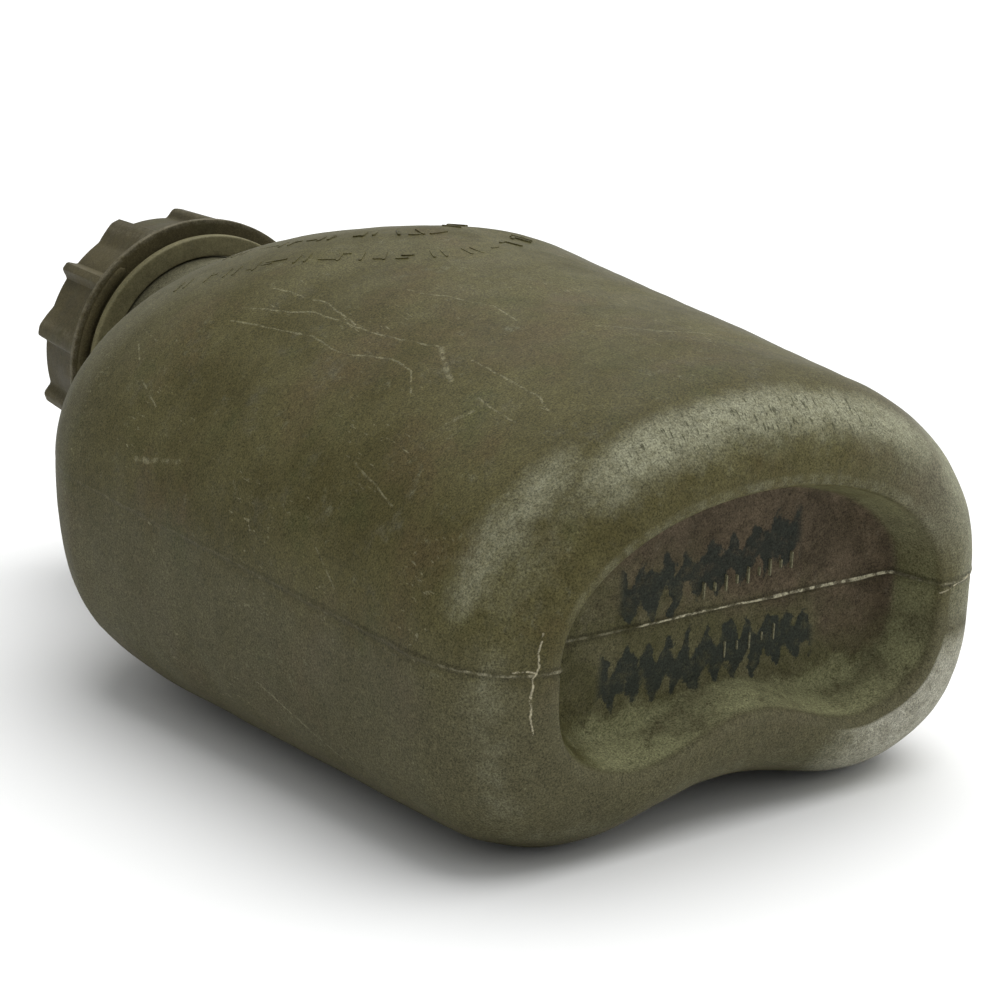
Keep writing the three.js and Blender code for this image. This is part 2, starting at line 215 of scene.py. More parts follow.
def rounded(corners, radii, step=1.2):
    """A polyline with its corners turned into arcs and its straight runs split to step or less."""
    corners = [np.array(c, float) for c in corners]
    points = [corners[0]]
    for before, corner, after, radius in zip(corners, corners[1:], corners[2:], radii):
        a, b = before - corner, after - corner
        la, lb = np.linalg.norm(a), np.linalg.norm(b)
        cut = min(radius, 0.48 * la, 0.48 * lb)
        start, end = corner + a / la * cut, corner + b / lb * cut
        for t in np.linspace(0, 1, 6):
            points.append((1 - t) ** 2 * start + 2 * t * (1 - t) * corner + t * t * end)
    points.append(corners[-1])
    split = [points[0]]
    for p in points[1:]:
        run = np.linalg.norm(p - split[-1])
        if run > 1e-6:
            count = max(math.ceil(run / step), 1)
            split.extend(split[-1] + (p - split[-1]) * k / count for k in range(1, count + 1))
    return np.array(split)


def turned(name, corners, radii=0.3, around=96, step=1.6, closed=True):
    """A turned ring or disc, spun round the neck axis: corners are (radius, height)."""
    corners = list(corners)
    if closed:
        middle = tuple((np.array(corners[0]) + np.array(corners[-1])) / 2)
        corners = [middle, *corners, middle]
    if isinstance(radii, (int, float)):
        radii = [radii] * (len(corners) - 2)
    profile = rounded(corners, radii, step)
    if closed:
        profile = profile[:-1]
    deselect()
    bpy.ops.mesh.primitive_circle_add(vertices=len(profile), radius=1)
    obj = bpy.context.object
    obj.name = obj.data.name = name
    for vertex, (r, y) in zip(obj.data.vertices, profile):
        vertex.co = (r * MM, y * MM, 0)
    bpy.ops.object.mode_set(mode="EDIT")
    bpy.ops.mesh.select_all(action="SELECT")
    bpy.ops.mesh.spin(steps=around, angle=TAU, center=(0, 0, 0), axis=(0, 1, 0))
    bpy.ops.mesh.select_all(action="SELECT")
    bpy.ops.mesh.remove_doubles(threshold=2e-6)
    bpy.ops.mesh.delete_loose()
    bpy.ops.mesh.select_all(action="SELECT")
    bpy.ops.mesh.normals_make_consistent(inside=False)
    bpy.ops.object.mode_set(mode="OBJECT")
    return obj


# ---- the bottle's surface ---------------------------------------------------------------------------
def edge_height(y, ends, curve):
    length, power = curve
    along = np.clip(y / (NECK_ROOT_Y - length), 0, 1)
    straight = ends[0] + (ends[1] - ends[0]) * along
    u = np.clip((y - (NECK_ROOT_Y - length)) / length, 0, 1)
    return NECK_ROOT_R + (straight - NECK_ROOT_R) * (1 - u**power) ** (1 / power)


def half_spread(count, dense, length):
    """Places from 0 to 1 along half a ring, close together near both seams."""
    t = np.linspace(0, 1, count + 1)
    pull = dense / length
    f = t - (1 - pull) * np.sin(TAU * t) / TAU
    return f / f[-1]


FRONT_SPREAD = half_spread(170, 40, 150)
BACK_SPREAD = half_spread(150, 40, 150)


def resample(x, z, spread):
    along = np.r_[0, np.cumsum(np.hypot(np.diff(x), np.diff(z)))]
    at = spread * along[-1]
    return np.interp(at, along, x), np.interp(at, along, z)


def section(y, inset=0.0, height=None):
    """One ring of the bottle at height y, drawn in by inset all round, put at height if that is given."""
    side = edge_height(y, HALF_WIDTH, SIDE_CURVE) - inset
    front = edge_height(y, FRONT, FRONT_CURVE) - inset
    back = edge_height(y, BACK, BACK_CURVE) - inset
    fade = float(smooth(0, ROUND_OFF, NECK_ROOT_Y - y))
    dent = (DENT[0] + (DENT[1] - DENT[0]) * y / NECK_ROOT_Y) * fade
    dent_half = DENT_HALF_WIDTH * side / HALF_WIDTH[1]
    t = np.linspace(0, math.pi, 500)
    halves = []
    front_half = (front, FRONT_ROUND, FRONT_SPREAD, 1)
    back_half = (back, BACK_ROUND, BACK_SPREAD, -1)
    for tall, power, spread, sign in (front_half, back_half):
        n = 2 + (power - 2) * fade
        c, s = np.abs(np.cos(t)), np.abs(np.sin(t))
        r = ((c / side) ** n + (s / tall) ** n) ** (-1 / n)
        x, z = r * np.cos(t), sign * r * s
        if sign < 0:
            hollow = dent * (1 + np.cos(math.pi * np.minimum(np.abs(x) / dent_half, 1))) / 2
            z = z + hollow * np.clip(-z / tall, 0, 1)
            x, z = x[::-1], z[::-1]
        halves.append(resample(x, z, spread))
    (fx, fz), (bx, bz) = halves
    x, z = np.r_[fx[:-1], bx[:-1]], np.r_[fz[:-1], bz[:-1]]
    return np.stack([x, np.full_like(x, y if height is None else height), z], axis=1)


def circle_ring(r, y):
    angle = np.r_[FRONT_SPREAD[:-1] * math.pi, math.pi + BACK_SPREAD[:-1] * math.pi]
    return np.stack([r * np.cos(angle), np.full_like(angle, y), r * np.sin(angle)], axis=1)


def rim_inset(y, height=RIM_HEIGHT, inset=RIM_INSET):
    return inset * (1 - np.sqrt(np.maximum(1 - (np.maximum(height - y, 0) / height) ** 2, 0)))


def side_heights(start, step):
    """Heights from the foot to the neck root, evenly spaced over the surface."""
    y = np.concatenate([
        start + (RIM_HEIGHT - start) * (1 - np.cos(np.linspace(0, math.pi / 2, 60)[1:])),
        np.linspace(RIM_HEIGHT, NECK_ROOT_Y - 12, 300)[1:],
        NECK_ROOT_Y - 12 + 12 * np.sin(np.linspace(0, math.pi / 2, 60)[1:]),
    ])
    side = edge_height(y, HALF_WIDTH, SIDE_CURVE) - rim_inset(y)
    front = edge_height(y, FRONT, FRONT_CURVE) - rim_inset(y)
    run = np.sqrt(np.diff(y) ** 2 + (np.diff(side) ** 2 + np.diff(front) ** 2) / 2)
    along = np.r_[0, np.cumsum(run)]
    count = int(along[-1] / step)
    return np.interp(np.linspace(0, along[-1], count + 1), along, y)


def grid_normals(rows):
    """Unit normals of a wrapped grid of rows, pointing away from the neck axis or the foot."""
    along = np.gradient(rows, axis=0)
    around = (np.roll(rows, -1, axis=1) - np.roll(rows, 1, axis=1)) / 2
    n = np.cross(along, around)
    return n / np.maximum(np.linalg.norm(n, axis=2, keepdims=True), 1e-9)


def ripple(x, y, z, seed, size, octaves=3):
    """A smooth fixed unevenness from a few waves, about -1 to 1."""
    rng = np.random.default_rng(seed)
    total = np.zeros_like(x)
    for octave in range(octaves):
        for _ in range(5):
            k = rng.normal(size=3)
            k *= TAU / (size * 0.6**octave) / np.linalg.norm(k)
            total += 0.6**octave * np.sin(k[0] * x + k[1] * y + k[2] * z + rng.uniform(0, TAU)) / 3.2
    return total


def bottle_rows():
    """Rows of the bottle from the middle of its foot, up the outside, in at the mouth and down the inside.
    Also each row's kind: floor, wall, rim, side, neck or inner."""
    rows, kinds = [], []

    def add(kind, ring):
        rows.append(ring)
        kinds.append(kind)

    edge_inset, floor_inset = RECESS_INSET + 0.5, RECESS_INSET + RECESS_SLOPE
    deep = floor_inset + 2.6
    floor_edge = section(0, deep, RECESS_DEPTH)
    for s in np.linspace(0, 1, 30)[:-1]:
        add("floor", floor_edge * (s, 1, s))
    wall = rounded(
        [(deep, RECESS_DEPTH), (floor_inset, RECESS_DEPTH), (edge_inset, 0.0), (RIM_INSET - 0.2, 0.0)],
        [4.2, 2.2], step=0.55)
    for inset, y in wall[:-1]:
        add("wall", section(0, inset, y))
    for y in side_heights(0.0, 1.12):
        add("rim" if y < RIM_HEIGHT else "side", section(y, float(rim_inset(y))))
    neck = rounded(
        [(NECK_ROOT_R + 1.6, NECK_ROOT_Y - 0.25), (NECK_R + 1.0, NECK_ROOT_Y + 1.4),
         (NECK_R, NECK_ROOT_Y + 6.0), (NECK_R, BEAD_Y[0] - 0.6), (BEAD_R, BEAD_Y[0]),
         (BEAD_R, BEAD_Y[1]), (NECK_R, BEAD_Y[1] + 0.6),
         (NECK_R, MOUTH_Y - 0.4), (NECK_R - 0.4, MOUTH_Y), (BORE_R + 0.4, MOUTH_Y), (BORE_R, MOUTH_Y - 0.6),
         (BORE_R, NECK_ROOT_Y + 1.0)],
        [2.0, 3.0, 0.4, 0.6, 0.6, 0.4, 0.5, 0.3, 0.4, 0.6], step=1.3)
    for r, y in neck[1:]:
        add("neck", circle_ring(r, y))
    inner = side_heights(WALL, 5.0)[::-1]
    for y in inner:
        inset = WALL + float(rim_inset(y - WALL, RIM_HEIGHT - WALL, RIM_INSET - WALL))
        add("inner", section(y, inset))
    floor, floor_edge_in = RECESS_DEPTH + WALL, floor_inset + 2.0
    below = ((RECESS_INSET - 1.0, WALL + 0.6), (floor_inset - WALL, floor - 3.0), (floor_edge_in, floor))
    for inset, y in below:
        add("inner", section(0, inset, y))
    for s in (0.66, 0.33, 0.0):
        add("inner", section(0, floor_edge_in, floor) * (s, 1, s))
    return np.array(rows), kinds


def seam_ridge(rows, kinds):
    """Height of the moulding flash that runs where the two mould halves met."""
    x, y, z = rows[..., 0], rows[..., 1], rows[..., 2]
    broken = 0.55 + 0.45 * ripple(x, y, 0 * z, 11, 9)
    on_foot = np.array([k in ("floor", "wall") for k in kinds])[:, None]
    on_side = np.array([k in ("rim", "side") for k in kinds])[:, None]
    wander = np.where(on_foot, 0.5 * ripple(x, y, 0 * z, 5, 34, 2), 0.12 * ripple(x, y, 0 * z, 6, 20, 2))
    near = z - wander
    thin = np.exp(-((near / 0.30) ** 2))
    groove = np.exp(-(((near + 0.75) / 0.45) ** 2))
    low = smooth(90, 10, y)
    foot = on_foot * (0.55 * broken * thin - 0.18 * groove)
    side = on_side * ((0.10 + 0.16 * low) * broken * thin - (0.05 + 0.09 * low) * groove)
    return foot + side


def rim_wear_and_light(x, y, z):
    """Where the foot's rounding is pale: a soft band at the left, the front and the lower right. The left
    band and the rest are rubbed wear; the front band is wear and a painted highlight; the lower right bands
    are wear and painted light.
    """
    def band(centre, width, reach):
        return np.exp(-(((y - centre) / width) ** 2)) * reach

    left = band(9.0, 4.2, 0.85 * smooth(-22, -40, x) * smooth(1, 12, z))
    front = band(4.8, 3.6, 1.25 * smooth(-46, -20, x) * smooth(6, 14, z) * smooth(46, 30, x))
    right = band(6.0, 6.5, 1.3 * smooth(34, 44, x) * smooth(-14, -4, z))
    low = band(4.0, 7.0, 1.7 * smooth(8, 30, x) * smooth(-6, -14, z))
    rest = band(4.5, 4.5, 0.42)
    return np.maximum.reduce([left, front, right, low, rest])


def bottle_shell():
    rows, kinds = bottle_rows()
    x, y, z = rows[..., 0], rows[..., 1], rows[..., 2]
    normals = grid_normals(rows)
    if (normals[len(rows) // 3, 0] * (1, 0, 0)).sum() < 0:
        normals = -normals
    kinds = np.array(kinds)
    outer = np.isin(kinds, ["rim", "side", "wall", "floor"])[:, None]
    on_rim = np.isin(kinds, ["rim", "side"])[:, None]
    uneven = 0.16 * ripple(x, y, z, 3, 46) + 0.05 * ripple(x, y, z, 4, 11)
    flat_land = smooth(0.0, 3.0, y)
    height = seam_ridge(rows, kinds) + on_rim * uneven * flat_land
    height = height + (kinds == "floor")[:, None] * 0.22 * ripple(x, y, z, 8, 24)
    height = np.where(outer, height, 0)
    height[0] = height[0].mean()
    step = np.linalg.norm(np.diff(rows, axis=1), axis=2)
    girth = np.concatenate([np.zeros((len(rows), 1)), np.cumsum(step, axis=1)], axis=1)
    left = len(FRONT_SPREAD) - 1
    at_front = smooth(-32, -20, x) * smooth(34, 18, x) * (z > 0)
    masks = {
        "seam": np.exp(-((z / 0.9) ** 2)) * outer,
        # worn: the foot's rubbed rounding, with a painted highlight in its front band and painted light at
        # the lower right.
        "worn": on_rim * rim_wear_and_light(x, y, z),
        "nicked": on_rim * np.exp(-(((y - 4.5) / 3.0) ** 2)) * at_front,
        # lip: where a painted highlight runs along the recess's lip, strongest at the front.
        "lip": (kinds == "wall")[:, None] * np.exp(-((y / 0.5) ** 2)) * (0.25 + 0.75 * smooth(4, 16, z)),
        "floor": (kinds == "floor")[:, None] + (kinds == "wall")[:, None] * smooth(7.4, 9.0, y),
        "wall": (kinds == "wall")[:, None] * smooth(0.4, 2.0, y) * smooth(9.3, 8.0, y),
        "girth": (girth[:, left:left + 1] - girth) * MM,
    }
    return skin("bottle_shell", rows + normals * height[..., None], masks)


def front_point(x, y):
    """A point of the bottle's front and its outward normal, for a place across it and up it."""
    def at(px, py):
        side = edge_height(py, HALF_WIDTH, SIDE_CURVE)
        tall = edge_height(py, FRONT, FRONT_CURVE)
        fade = float(smooth(0, ROUND_OFF, NECK_ROOT_Y - py))
        n = 2 + (FRONT_ROUND - 2) * fade
        return Vector((px, py, tall * max(1 - abs(px / side) ** n, 0) ** (1 / n)))

    p = at(x, y)
    normal = (at(x + 0.1, y) - p).cross(at(x, y + 0.1) - p).normalized()
    return p, normal


def raised_bar(name, centre, along, normal, length, width, height):
    """One moulded bar with rounded ends, standing on the surface at centre."""
    deselect()
    bpy.ops.mesh.primitive_cylinder_add(vertices=20, radius=0.5, depth=1)
    obj = bpy.context.object
    obj.name = name
    bpy.ops.object.mode_set(mode="EDIT")
    bpy.ops.mesh.select_all(action="SELECT")
    bpy.ops.transform.resize(value=(width, width, height * 2))
    bpy.ops.object.mode_set(mode="OBJECT")
    stretch = (length - width) / 2
    for v in obj.data.vertices:
        v.co.y += math.copysign(stretch, v.co.y) if abs(v.co.y) > 1e-6 else 0
        if v.co.z > 0:
            v.co.x *= 0.55
            v.co.y = math.copysign(max(abs(v.co.y) - width * 0.22, 0), v.co.y)
    across = along.cross(normal).normalized()
    turn = Matrix((across, along.normalized(), normal)).transposed().to_4x4()
    obj.data.transform(Matrix.Scale(MM, 4) @ Matrix.Translation(centre) @ turn)
    return obj


def shoulder_bars():
    """Two curved rows of plain moulded bars, upright and lying ones, on the shoulder."""
    bars = []
    rng = np.random.default_rng(21)
    for base, bend, left, right, tall in SHOULDER_ROWS:
        x = left
        while x < right:
            lies = rng.random() < 0.45
            y = base + bend * x * x + (rng.choice([-0.4, 0.0, 0.4]) * tall if lies else 0.0)
            p, normal = front_point(x, y)
            ahead, _ = front_point(x + 0.5, y + bend * (x + 0.25))
            along = (ahead - p).normalized()
            if not lies:
                along = normal.cross(along).normalized()
            bars.append(raised_bar("bar", p - normal * 0.14, along, normal, 2.8 if lies else tall, 1.1, 0.42))
            run = 1 / math.sqrt(1 + (2 * bend * x) ** 2)
            x += (2.1 + (2.6 if rng.random() < 0.12 else 0)) * run
    return bars


def floor_bars():
    """Small plain bars moulded in the foot's recess, in two short rows."""
    bars = []
    for x0, z0, count, gap in ((-4.6, 3.6, 9, 2.3), (0.6, -7.4, 5, 2.6)):
        for i in range(count):
            centre = Vector((x0 + gap * i, RECESS_DEPTH + 0.05, z0 + 0.12 * gap * i))
            length = 3.0 - 1.3 * (i % 2)
            bar = raised_bar("bar", centre, Vector((0, 0, 1)), Vector((0, -1, 0)), length, 0.5, 0.3)
            mark = bar.data.attributes.new("mark", "FLOAT", "POINT")
            mark.data.foreach_set("value", np.ones(len(bar.data.vertices), np.float32))
            bars.append(bar)
    return bars


def ridge(name, wall_r, crest_r, start, foot, crest):
    """A helical thread ridge whose foot is buried in its wall, fading in and out at its ends."""
    steps = int(THREAD_TURNS * 90)
    bury = math.copysign(0.6, wall_r - crest_r)
    rows = []
    for i in range(steps + 1):
        angle = TAU * THREAD_TURNS * i / steps
        grow = min(0.12 + min(i, steps - i) / 14, 1)
        y = start + PITCH * angle / TAU
        r = wall_r + (crest_r - wall_r) * grow
        profile = [(wall_r + bury, -foot / 2), (wall_r, -foot / 2), (r, -crest / 2 - 0.1),
                   (r, crest / 2 + 0.1), (wall_r, foot / 2), (wall_r + bury, foot / 2)]
        rows.append([(pr * math.sin(angle), y + py, pr * math.cos(angle)) for pr, py in profile])
    return skin(name, capped(rows))


# ---- materials ---------------------------------------------------------------------------------------
class Shader:
    """Builds one node material, from left to right. Its patterns lie on the place each point keeps in the
    bottle's own frame, or on the object's coordinates where a piece has no kept place. Lengths are in metres
    unless a name says mm."""

    def __init__(self, name, kept_place=True):
        self.material = bpy.data.materials.new(name)
        self.material.use_nodes = True
        self.nodes = self.material.node_tree.nodes
        self.links = self.material.node_tree.links
        self.nodes.clear()
        out = self.nodes.new("ShaderNodeOutputMaterial")
        self.surface = self.nodes.new("ShaderNodeBsdfPrincipled")
        self.links.new(self.surface.outputs["BSDF"], out.inputs["Surface"])
        if kept_place:
            place = self.nodes.new("ShaderNodeAttribute")
            place.attribute_name = "place"
            self.place = place.outputs["Vector"]
        else:
            self.place = self.nodes.new("ShaderNodeTexCoord").outputs["Object"]

    def put(self, socket, value):
        if hasattr(value, "links"):
            self.links.new(value, socket)
        elif value is not None:
            socket.default_value = value

    def mask(self, name):
        node = self.nodes.new("ShaderNodeAttribute")
        node.attribute_name = name
        return node.outputs["Fac"]

    def moved(self, scale=(1, 1, 1), location=(0, 0, 0), rotation=(0, 0, 0)):
        node = self.nodes.new("ShaderNodeMapping")
        self.put(node.inputs["Vector"], self.place)
        node.inputs["Scale"].default_value = scale
        node.inputs["Location"].default_value = location
        node.inputs["Rotation"].default_value = rotation
        return node.outputs["Vector"]

    def noise(self, size_mm, detail, rough, vector=None):
        node = self.nodes.new("ShaderNodeTexNoise")
        self.put(node.inputs["Vector"], vector or self.place)
        node.inputs["Scale"].default_value = 1000 / size_mm
        node.inputs["Detail"].default_value = detail
        node.inputs["Roughness"].default_value = rough
        return node.outputs["Fac"]

    def math(self, operation, a, b=None, c=None, clamp=False):
        node = self.nodes.new("ShaderNodeMath")
        node.operation = operation
        node.use_clamp = clamp
        for socket, value in zip(node.inputs, (a, b, c)):
            self.put(socket, value)
        return node.outputs[0]

    def span(self, value, low, high, to_low=0.0, to_high=1.0, soft=True):
        node = self.nodes.new("ShaderNodeMapRange")
        node.interpolation_type = "SMOOTHSTEP" if soft else "LINEAR"
        self.put(node.inputs["Value"], value)
        for key, number in zip(("From Min", "From Max", "To Min", "To Max"), (low, high, to_low, to_high)):
            node.inputs[key].default_value = number
        return node.outputs["Result"]

    def times(self, *values):
        """The product of numbers that may vary over the surface."""
        product = values[0]
        for value in values[1:]:
            product = self.math("MULTIPLY", product, value)
        return product

    def drift(self, amount, size_mm, detail, rough, at=None):
        """Noise about zero, up to about half of amount either way."""
        noise = self.noise(size_mm, detail, rough, at and self.moved(location=at))
        return self.times(self.math("SUBTRACT", noise, 0.5), amount)

    def blots(self, size_mm, detail, rough, low, high, to_low=0.0, to_high=1.0, at=None):
        """Soft-edged blots of noise. A place in at keeps them from lining up with other blots."""
        noise = self.noise(size_mm, detail, rough, at and self.moved(location=at))
        return self.span(noise, low, high, to_low, to_high)

    def mix(self, factor, a, b, blend="MIX"):
        node = self.nodes.new("ShaderNodeMix")
        node.data_type = "RGBA"
        node.blend_type = blend
        self.put(node.inputs[0], factor)
        self.put(node.inputs[6], (*a, 1) if isinstance(a, tuple) else a)
        self.put(node.inputs[7], (*b, 1) if isinstance(b, tuple) else b)
        return node.outputs[2]

    def part(self, axis):
        node = self.nodes.new("ShaderNodeSeparateXYZ")
        self.put(node.inputs["Vector"], self.place)
        return node.outputs[axis]

    def bump(self, height, distance_mm, strength=1.0, before=None):
        node = self.nodes.new("ShaderNodeBump")
        node.inputs["Strength"].default_value = strength
        node.inputs["Distance"].default_value = distance_mm * MM
        self.put(node.inputs["Height"], height)
        if before is not None:
            self.links.new(before, node.inputs["Normal"])
        return node.outputs["Normal"]

    def vector(self, operation, a, b=None, scale=None, value=False):
        node = self.nodes.new("ShaderNodeVectorMath")
        node.operation = operation
        self.put(node.inputs[0], a)
        self.put(node.inputs[1], b)
        if scale is not None:
            self.put(node.inputs["Scale"], scale)
        return node.outputs["Value" if value else "Vector"]

    def plane(self, u, v, bend_mm):
        """Two lengths as a flat place, bent a little by noise."""
        node = self.nodes.new("ShaderNodeCombineXYZ")
        self.put(node.inputs[0], u)
        self.put(node.inputs[1], v)
        wander = self.drift(bend_mm * MM, 6, 4, 0.65)
        return self.vector("ADD", node.outputs[0], self.vector("SCALE", (1.0, 0.6, 0.0), scale=wander))

    def strokes(self, plane, routes):
        """Distance from a flat place to the nearest of some routes, each a list of points in millimetres."""
        nearest = None
        for route in routes:
            for (u0, v0), (u1, v1) in zip(route, route[1:]):
                run = Vector((u1 - u0, v1 - v0, 0)) * MM
                away = self.vector("SUBTRACT", plane, (u0 * MM, v0 * MM, 0))
                share = self.vector("DOT_PRODUCT", away, tuple(run / run.length_squared), value=True)
                foot = self.vector("SCALE", tuple(run), scale=self.math("ADD", share, 0.0, clamp=True))
                far = self.vector("DISTANCE", away, foot, value=True)
                nearest = far if nearest is None else self.math("MINIMUM", nearest, far)
        return nearest

    def tone(self, colour, value):
        """A colour made lighter or darker by a number that may vary over the surface."""
        return self.mix(1.0, colour, value, "MULTIPLY")

    def finish(self, colour, roughness, normal, specular=0.5):
        self.put(self.surface.inputs["Base Color"], colour)
        self.put(self.surface.inputs["Roughness"], roughness)
        self.surface.inputs["Specular IOR Level"].default_value = specular
        self.links.new(normal, self.surface.inputs["Normal"])
        return self.material


def grain(s, low, high):
    """The fine speckle of scuffed, gritty plastic."""
    fine = s.span(s.noise(0.32, 2, 0.8), 0.30, 0.70, low, high, soft=False)
    coarse = s.span(s.noise(1.3, 3, 0.7), 0.32, 0.68, 0.88, 1.12, soft=False)
    return s.times(fine, coarse)


# Scratches on the front, as routes of (way round from the left seam, height over the foot).
SCRATCHES = (
    ((39, 97), (42, 77), (41, 68), (44, 57), (43, 51), (39, 46)),
    ((42, 98), (47, 82), (48, 64), (50, 52), (46, 46)),
    ((50, 44), (49, 33), (48, 25), (46, 21)),
    ((49, 97), (50, 83), (48, 72)),
    ((43, 34), (41, 23)),
    ((24, 45), (20, 31)),
    ((9, 44), (4, 37)),
    ((22, 107), (19, 99)),
    ((28, 116), (25, 111)),
    ((31, 119), (30, 111)),
    ((60, 76), (66, 58), (64, 50)),
    ((72, 40), (80, 33), (90, 30)),
    ((-20, 60), (-26, 38)),
    ((-46, 92), (-38, 74), (-40, 66)),
    ((98, 88), (108, 70)),
    ((118, 46), (112, 28), (116, 22)),
)
GOUGES = (((50, 52), (44, 42)), ((40, 32), (35, 34)), ((9, 99), (12, 86)), ((-60, 50), (-64, 44)))
RIM_CRACKS = (
    ((-43.0, 6.5), (-43.7, 3.5), (-43.4, 1.5), (-44.4, -0.5), (-44.6, -4.0), (-44.1, -9.5)),
    ((-47.2, 0.6), (-45.6, 0.9), (-43.9, 0.4)),
    ((39.5, -1.6), (43.4, -0.4), (46.6, 0.2)),
)


# Fixed colours of stains, dust, damage and painted light, as linear red, green and blue.
GREEN_TINT, DEEP_TINT = (0.056, 0.060, 0.021), (0.042, 0.036, 0.013)
DUST, RIGHT_SIDE_LIGHT, RUBBED_DUST = (0.098, 0.092, 0.058), (0.160, 0.153, 0.113), (0.128, 0.124, 0.072)
FLOOR_OLIVE = ((0.060, 0.056, 0.024), (0.096, 0.088, 0.046))
FLOOR_BROWN = ((0.052, 0.040, 0.024), (0.092, 0.070, 0.044))
FLOOR_FILM, FLOOR_GREEN_AND_LIGHT, WALL_GREEN_AND_LIGHT = (0.15, 0.13, 0.09), (0.190, 0.188, 0.098), (0.215, 0.213, 0.112)
SOOT, GRIME = (0.038, 0.031, 0.016), (0.052, 0.046, 0.014)
SEAM_DIRT, FLASH, CRACK = (0.030, 0.027, 0.014), (0.42, 0.39, 0.27), (0.42, 0.38, 0.26)
FROST_AND_LIGHT, NICK, SCRATCH = (0.33, 0.32, 0.255), (0.045, 0.045, 0.022), (0.23, 0.215, 0.13)
INK, RUBBED_BAR = (0.020, 0.024, 0.019), (0.20, 0.19, 0.12)
CAP_GREEN, STRAP_DUST, RUBBER_BLOOM = (0.062, 0.060, 0.030), (0.15, 0.145, 0.095), (0.05, 0.05, 0.045)
STEEL, TARNISH = (0.42, 0.41, 0.38), (0.16, 0.13, 0.09)

FLASH_ENDS = (-0.0185, 0.0385)       # where the torn flash starts and stops across the foot
# height at the middle, slope, left end, right end, half height and number of strokes of each marker row
MARKER_ROWS = ((0.0078, 0.13, -0.0225, 0.0165, 0.0017, 8.5), (-0.0078, 0.03, -0.0260, 0.0205, 0.0015, 11.0))


def body_colour(s, dark, light, stain):
    """Olive mottling, browner on the front, dustier below the seam, paler towards the neck, and with painted
    light and sheen making the right side of the front paler. Also where it is dusty or paler towards the
    neck."""
    colour = s.mix(s.blots(26, 6, 0.68, 0.38, 0.62), dark, light)
    colour = s.mix(s.blots(19, 6, 0.65, 0.48, 0.72, 0.0, 0.7, at=(0.3, 0.1, 0.2)), colour, stain)
    colour = s.mix(s.blots(13, 5, 0.6, 0.55, 0.75, 0.0, 0.5, at=(0.9, 0.5, 0.1)), colour, GREEN_TINT)
    colour = s.mix(s.blots(7, 7, 0.75, 0.54, 0.74, 0.0, 0.55, at=(0.2, 0.6, 0.3)), colour, DEEP_TINT)
    below = s.span(s.math("ADD", s.part("Z"), s.drift(0.016, 7, 5, 0.7)), -0.008, 0.008, 0.50, 0.0)
    # Paler towards the neck, in the dust colour; the dust mask holds this too.
    neck = s.span(s.part("Y"), 0.100, 0.150, 0.0, 0.85)
    patches = s.blots(9, 8, 0.78, 0.53, 0.74, 0.0, 0.7, at=(0.7, 0.4, 0.9))
    dust = s.math("MAXIMUM", s.math("MAXIMUM", below, neck), patches)
    colour = s.mix(dust, colour, DUST)
    # Painted light and sheen: the right side of the front, which faces up, made paler and greyer as if lit
    # from above.
    lit_right_side = s.times(s.span(s.part("X"), 0.012, 0.056, 0.0, 0.75), s.span(s.part("Z"), 0.0, 0.012))
    colour = s.mix(lit_right_side, colour, RIGHT_SIDE_LIGHT)
    rubs = s.blots(4.5, 9, 0.80, 0.56, 0.70, 0.0, 0.70, at=(0.1, 0.9, 0.5))
    return s.mix(rubs, colour, RUBBED_DUST), dust


def recess_colour(s, colour):
    """The recess: brown above and green below on its floor, green on its walls, sooty in places. The walls
    are paler in blots, most of all on the lower wall, which faces up. The bottom of the floor next to it is
    paler too: green colour and painted light.
    """
    x, z = s.part("X"), s.part("Z")
    olive = s.mix(s.blots(8, 6, 0.7, 0.36, 0.66), *FLOOR_OLIVE)
    brown = s.mix(s.blots(6, 7, 0.72, 0.36, 0.66, at=(0.15, 0, 0.6)), *FLOOR_BROWN)
    above = s.math("ADD", s.math("ADD", z, s.times(x, 0.35)), s.drift(0.03, 12, 4, 0.6))
    floor_colour = s.mix(s.span(above, -0.006, 0.010), olive, brown)
    film = s.blots(3.4, 8, 0.75, 0.56, 0.74, 0.0, 0.45, at=(0.5, 0.2, 0.1))
    floor_colour = s.mix(film, floor_colour, FLOOR_FILM)
    # The bottom of the floor, next to the lower wall, green and paler: green colour and painted light.
    low = s.math("ADD", z, s.drift(0.012, 7, 5, 0.7))
    floor_colour = s.mix(s.span(low, -0.0125, -0.0170, 0.0, 0.8), floor_colour, FLOOR_GREEN_AND_LIGHT)
    colour = s.mix(s.mask("floor"), colour, floor_colour)
    # The walls green and paler in blots, most on the lower wall, which faces up: green colour and painted
    # light.
    green_and_lit_wall = s.blots(10, 5, 0.65, 0.34, 0.60, 0.2, 0.9, at=(0.2, 0.2, 0.8))
    green_and_lit_wall = s.times(green_and_lit_wall, s.span(z, 0.004, -0.012, 0.5, 1.0))
    colour = s.mix(s.times(s.mask("wall"), green_and_lit_wall), colour, WALL_GREEN_AND_LIGHT)
    within = s.math("MAXIMUM", s.mask("floor"), s.mask("wall"))
    soot = s.blots(4, 7, 0.74, 0.55, 0.70, 0.0, 0.65, at=(0.8, 0.1, 0.5))
    colour = s.mix(s.times(soot, within), colour, SOOT)
    corner = s.times(s.span(x, -0.026, -0.033), s.span(z, -0.006, -0.014))
    return s.mix(s.times(corner, within, s.blots(5, 6, 0.7, 0.36, 0.52, 0.3, 0.85)), colour, GRIME)


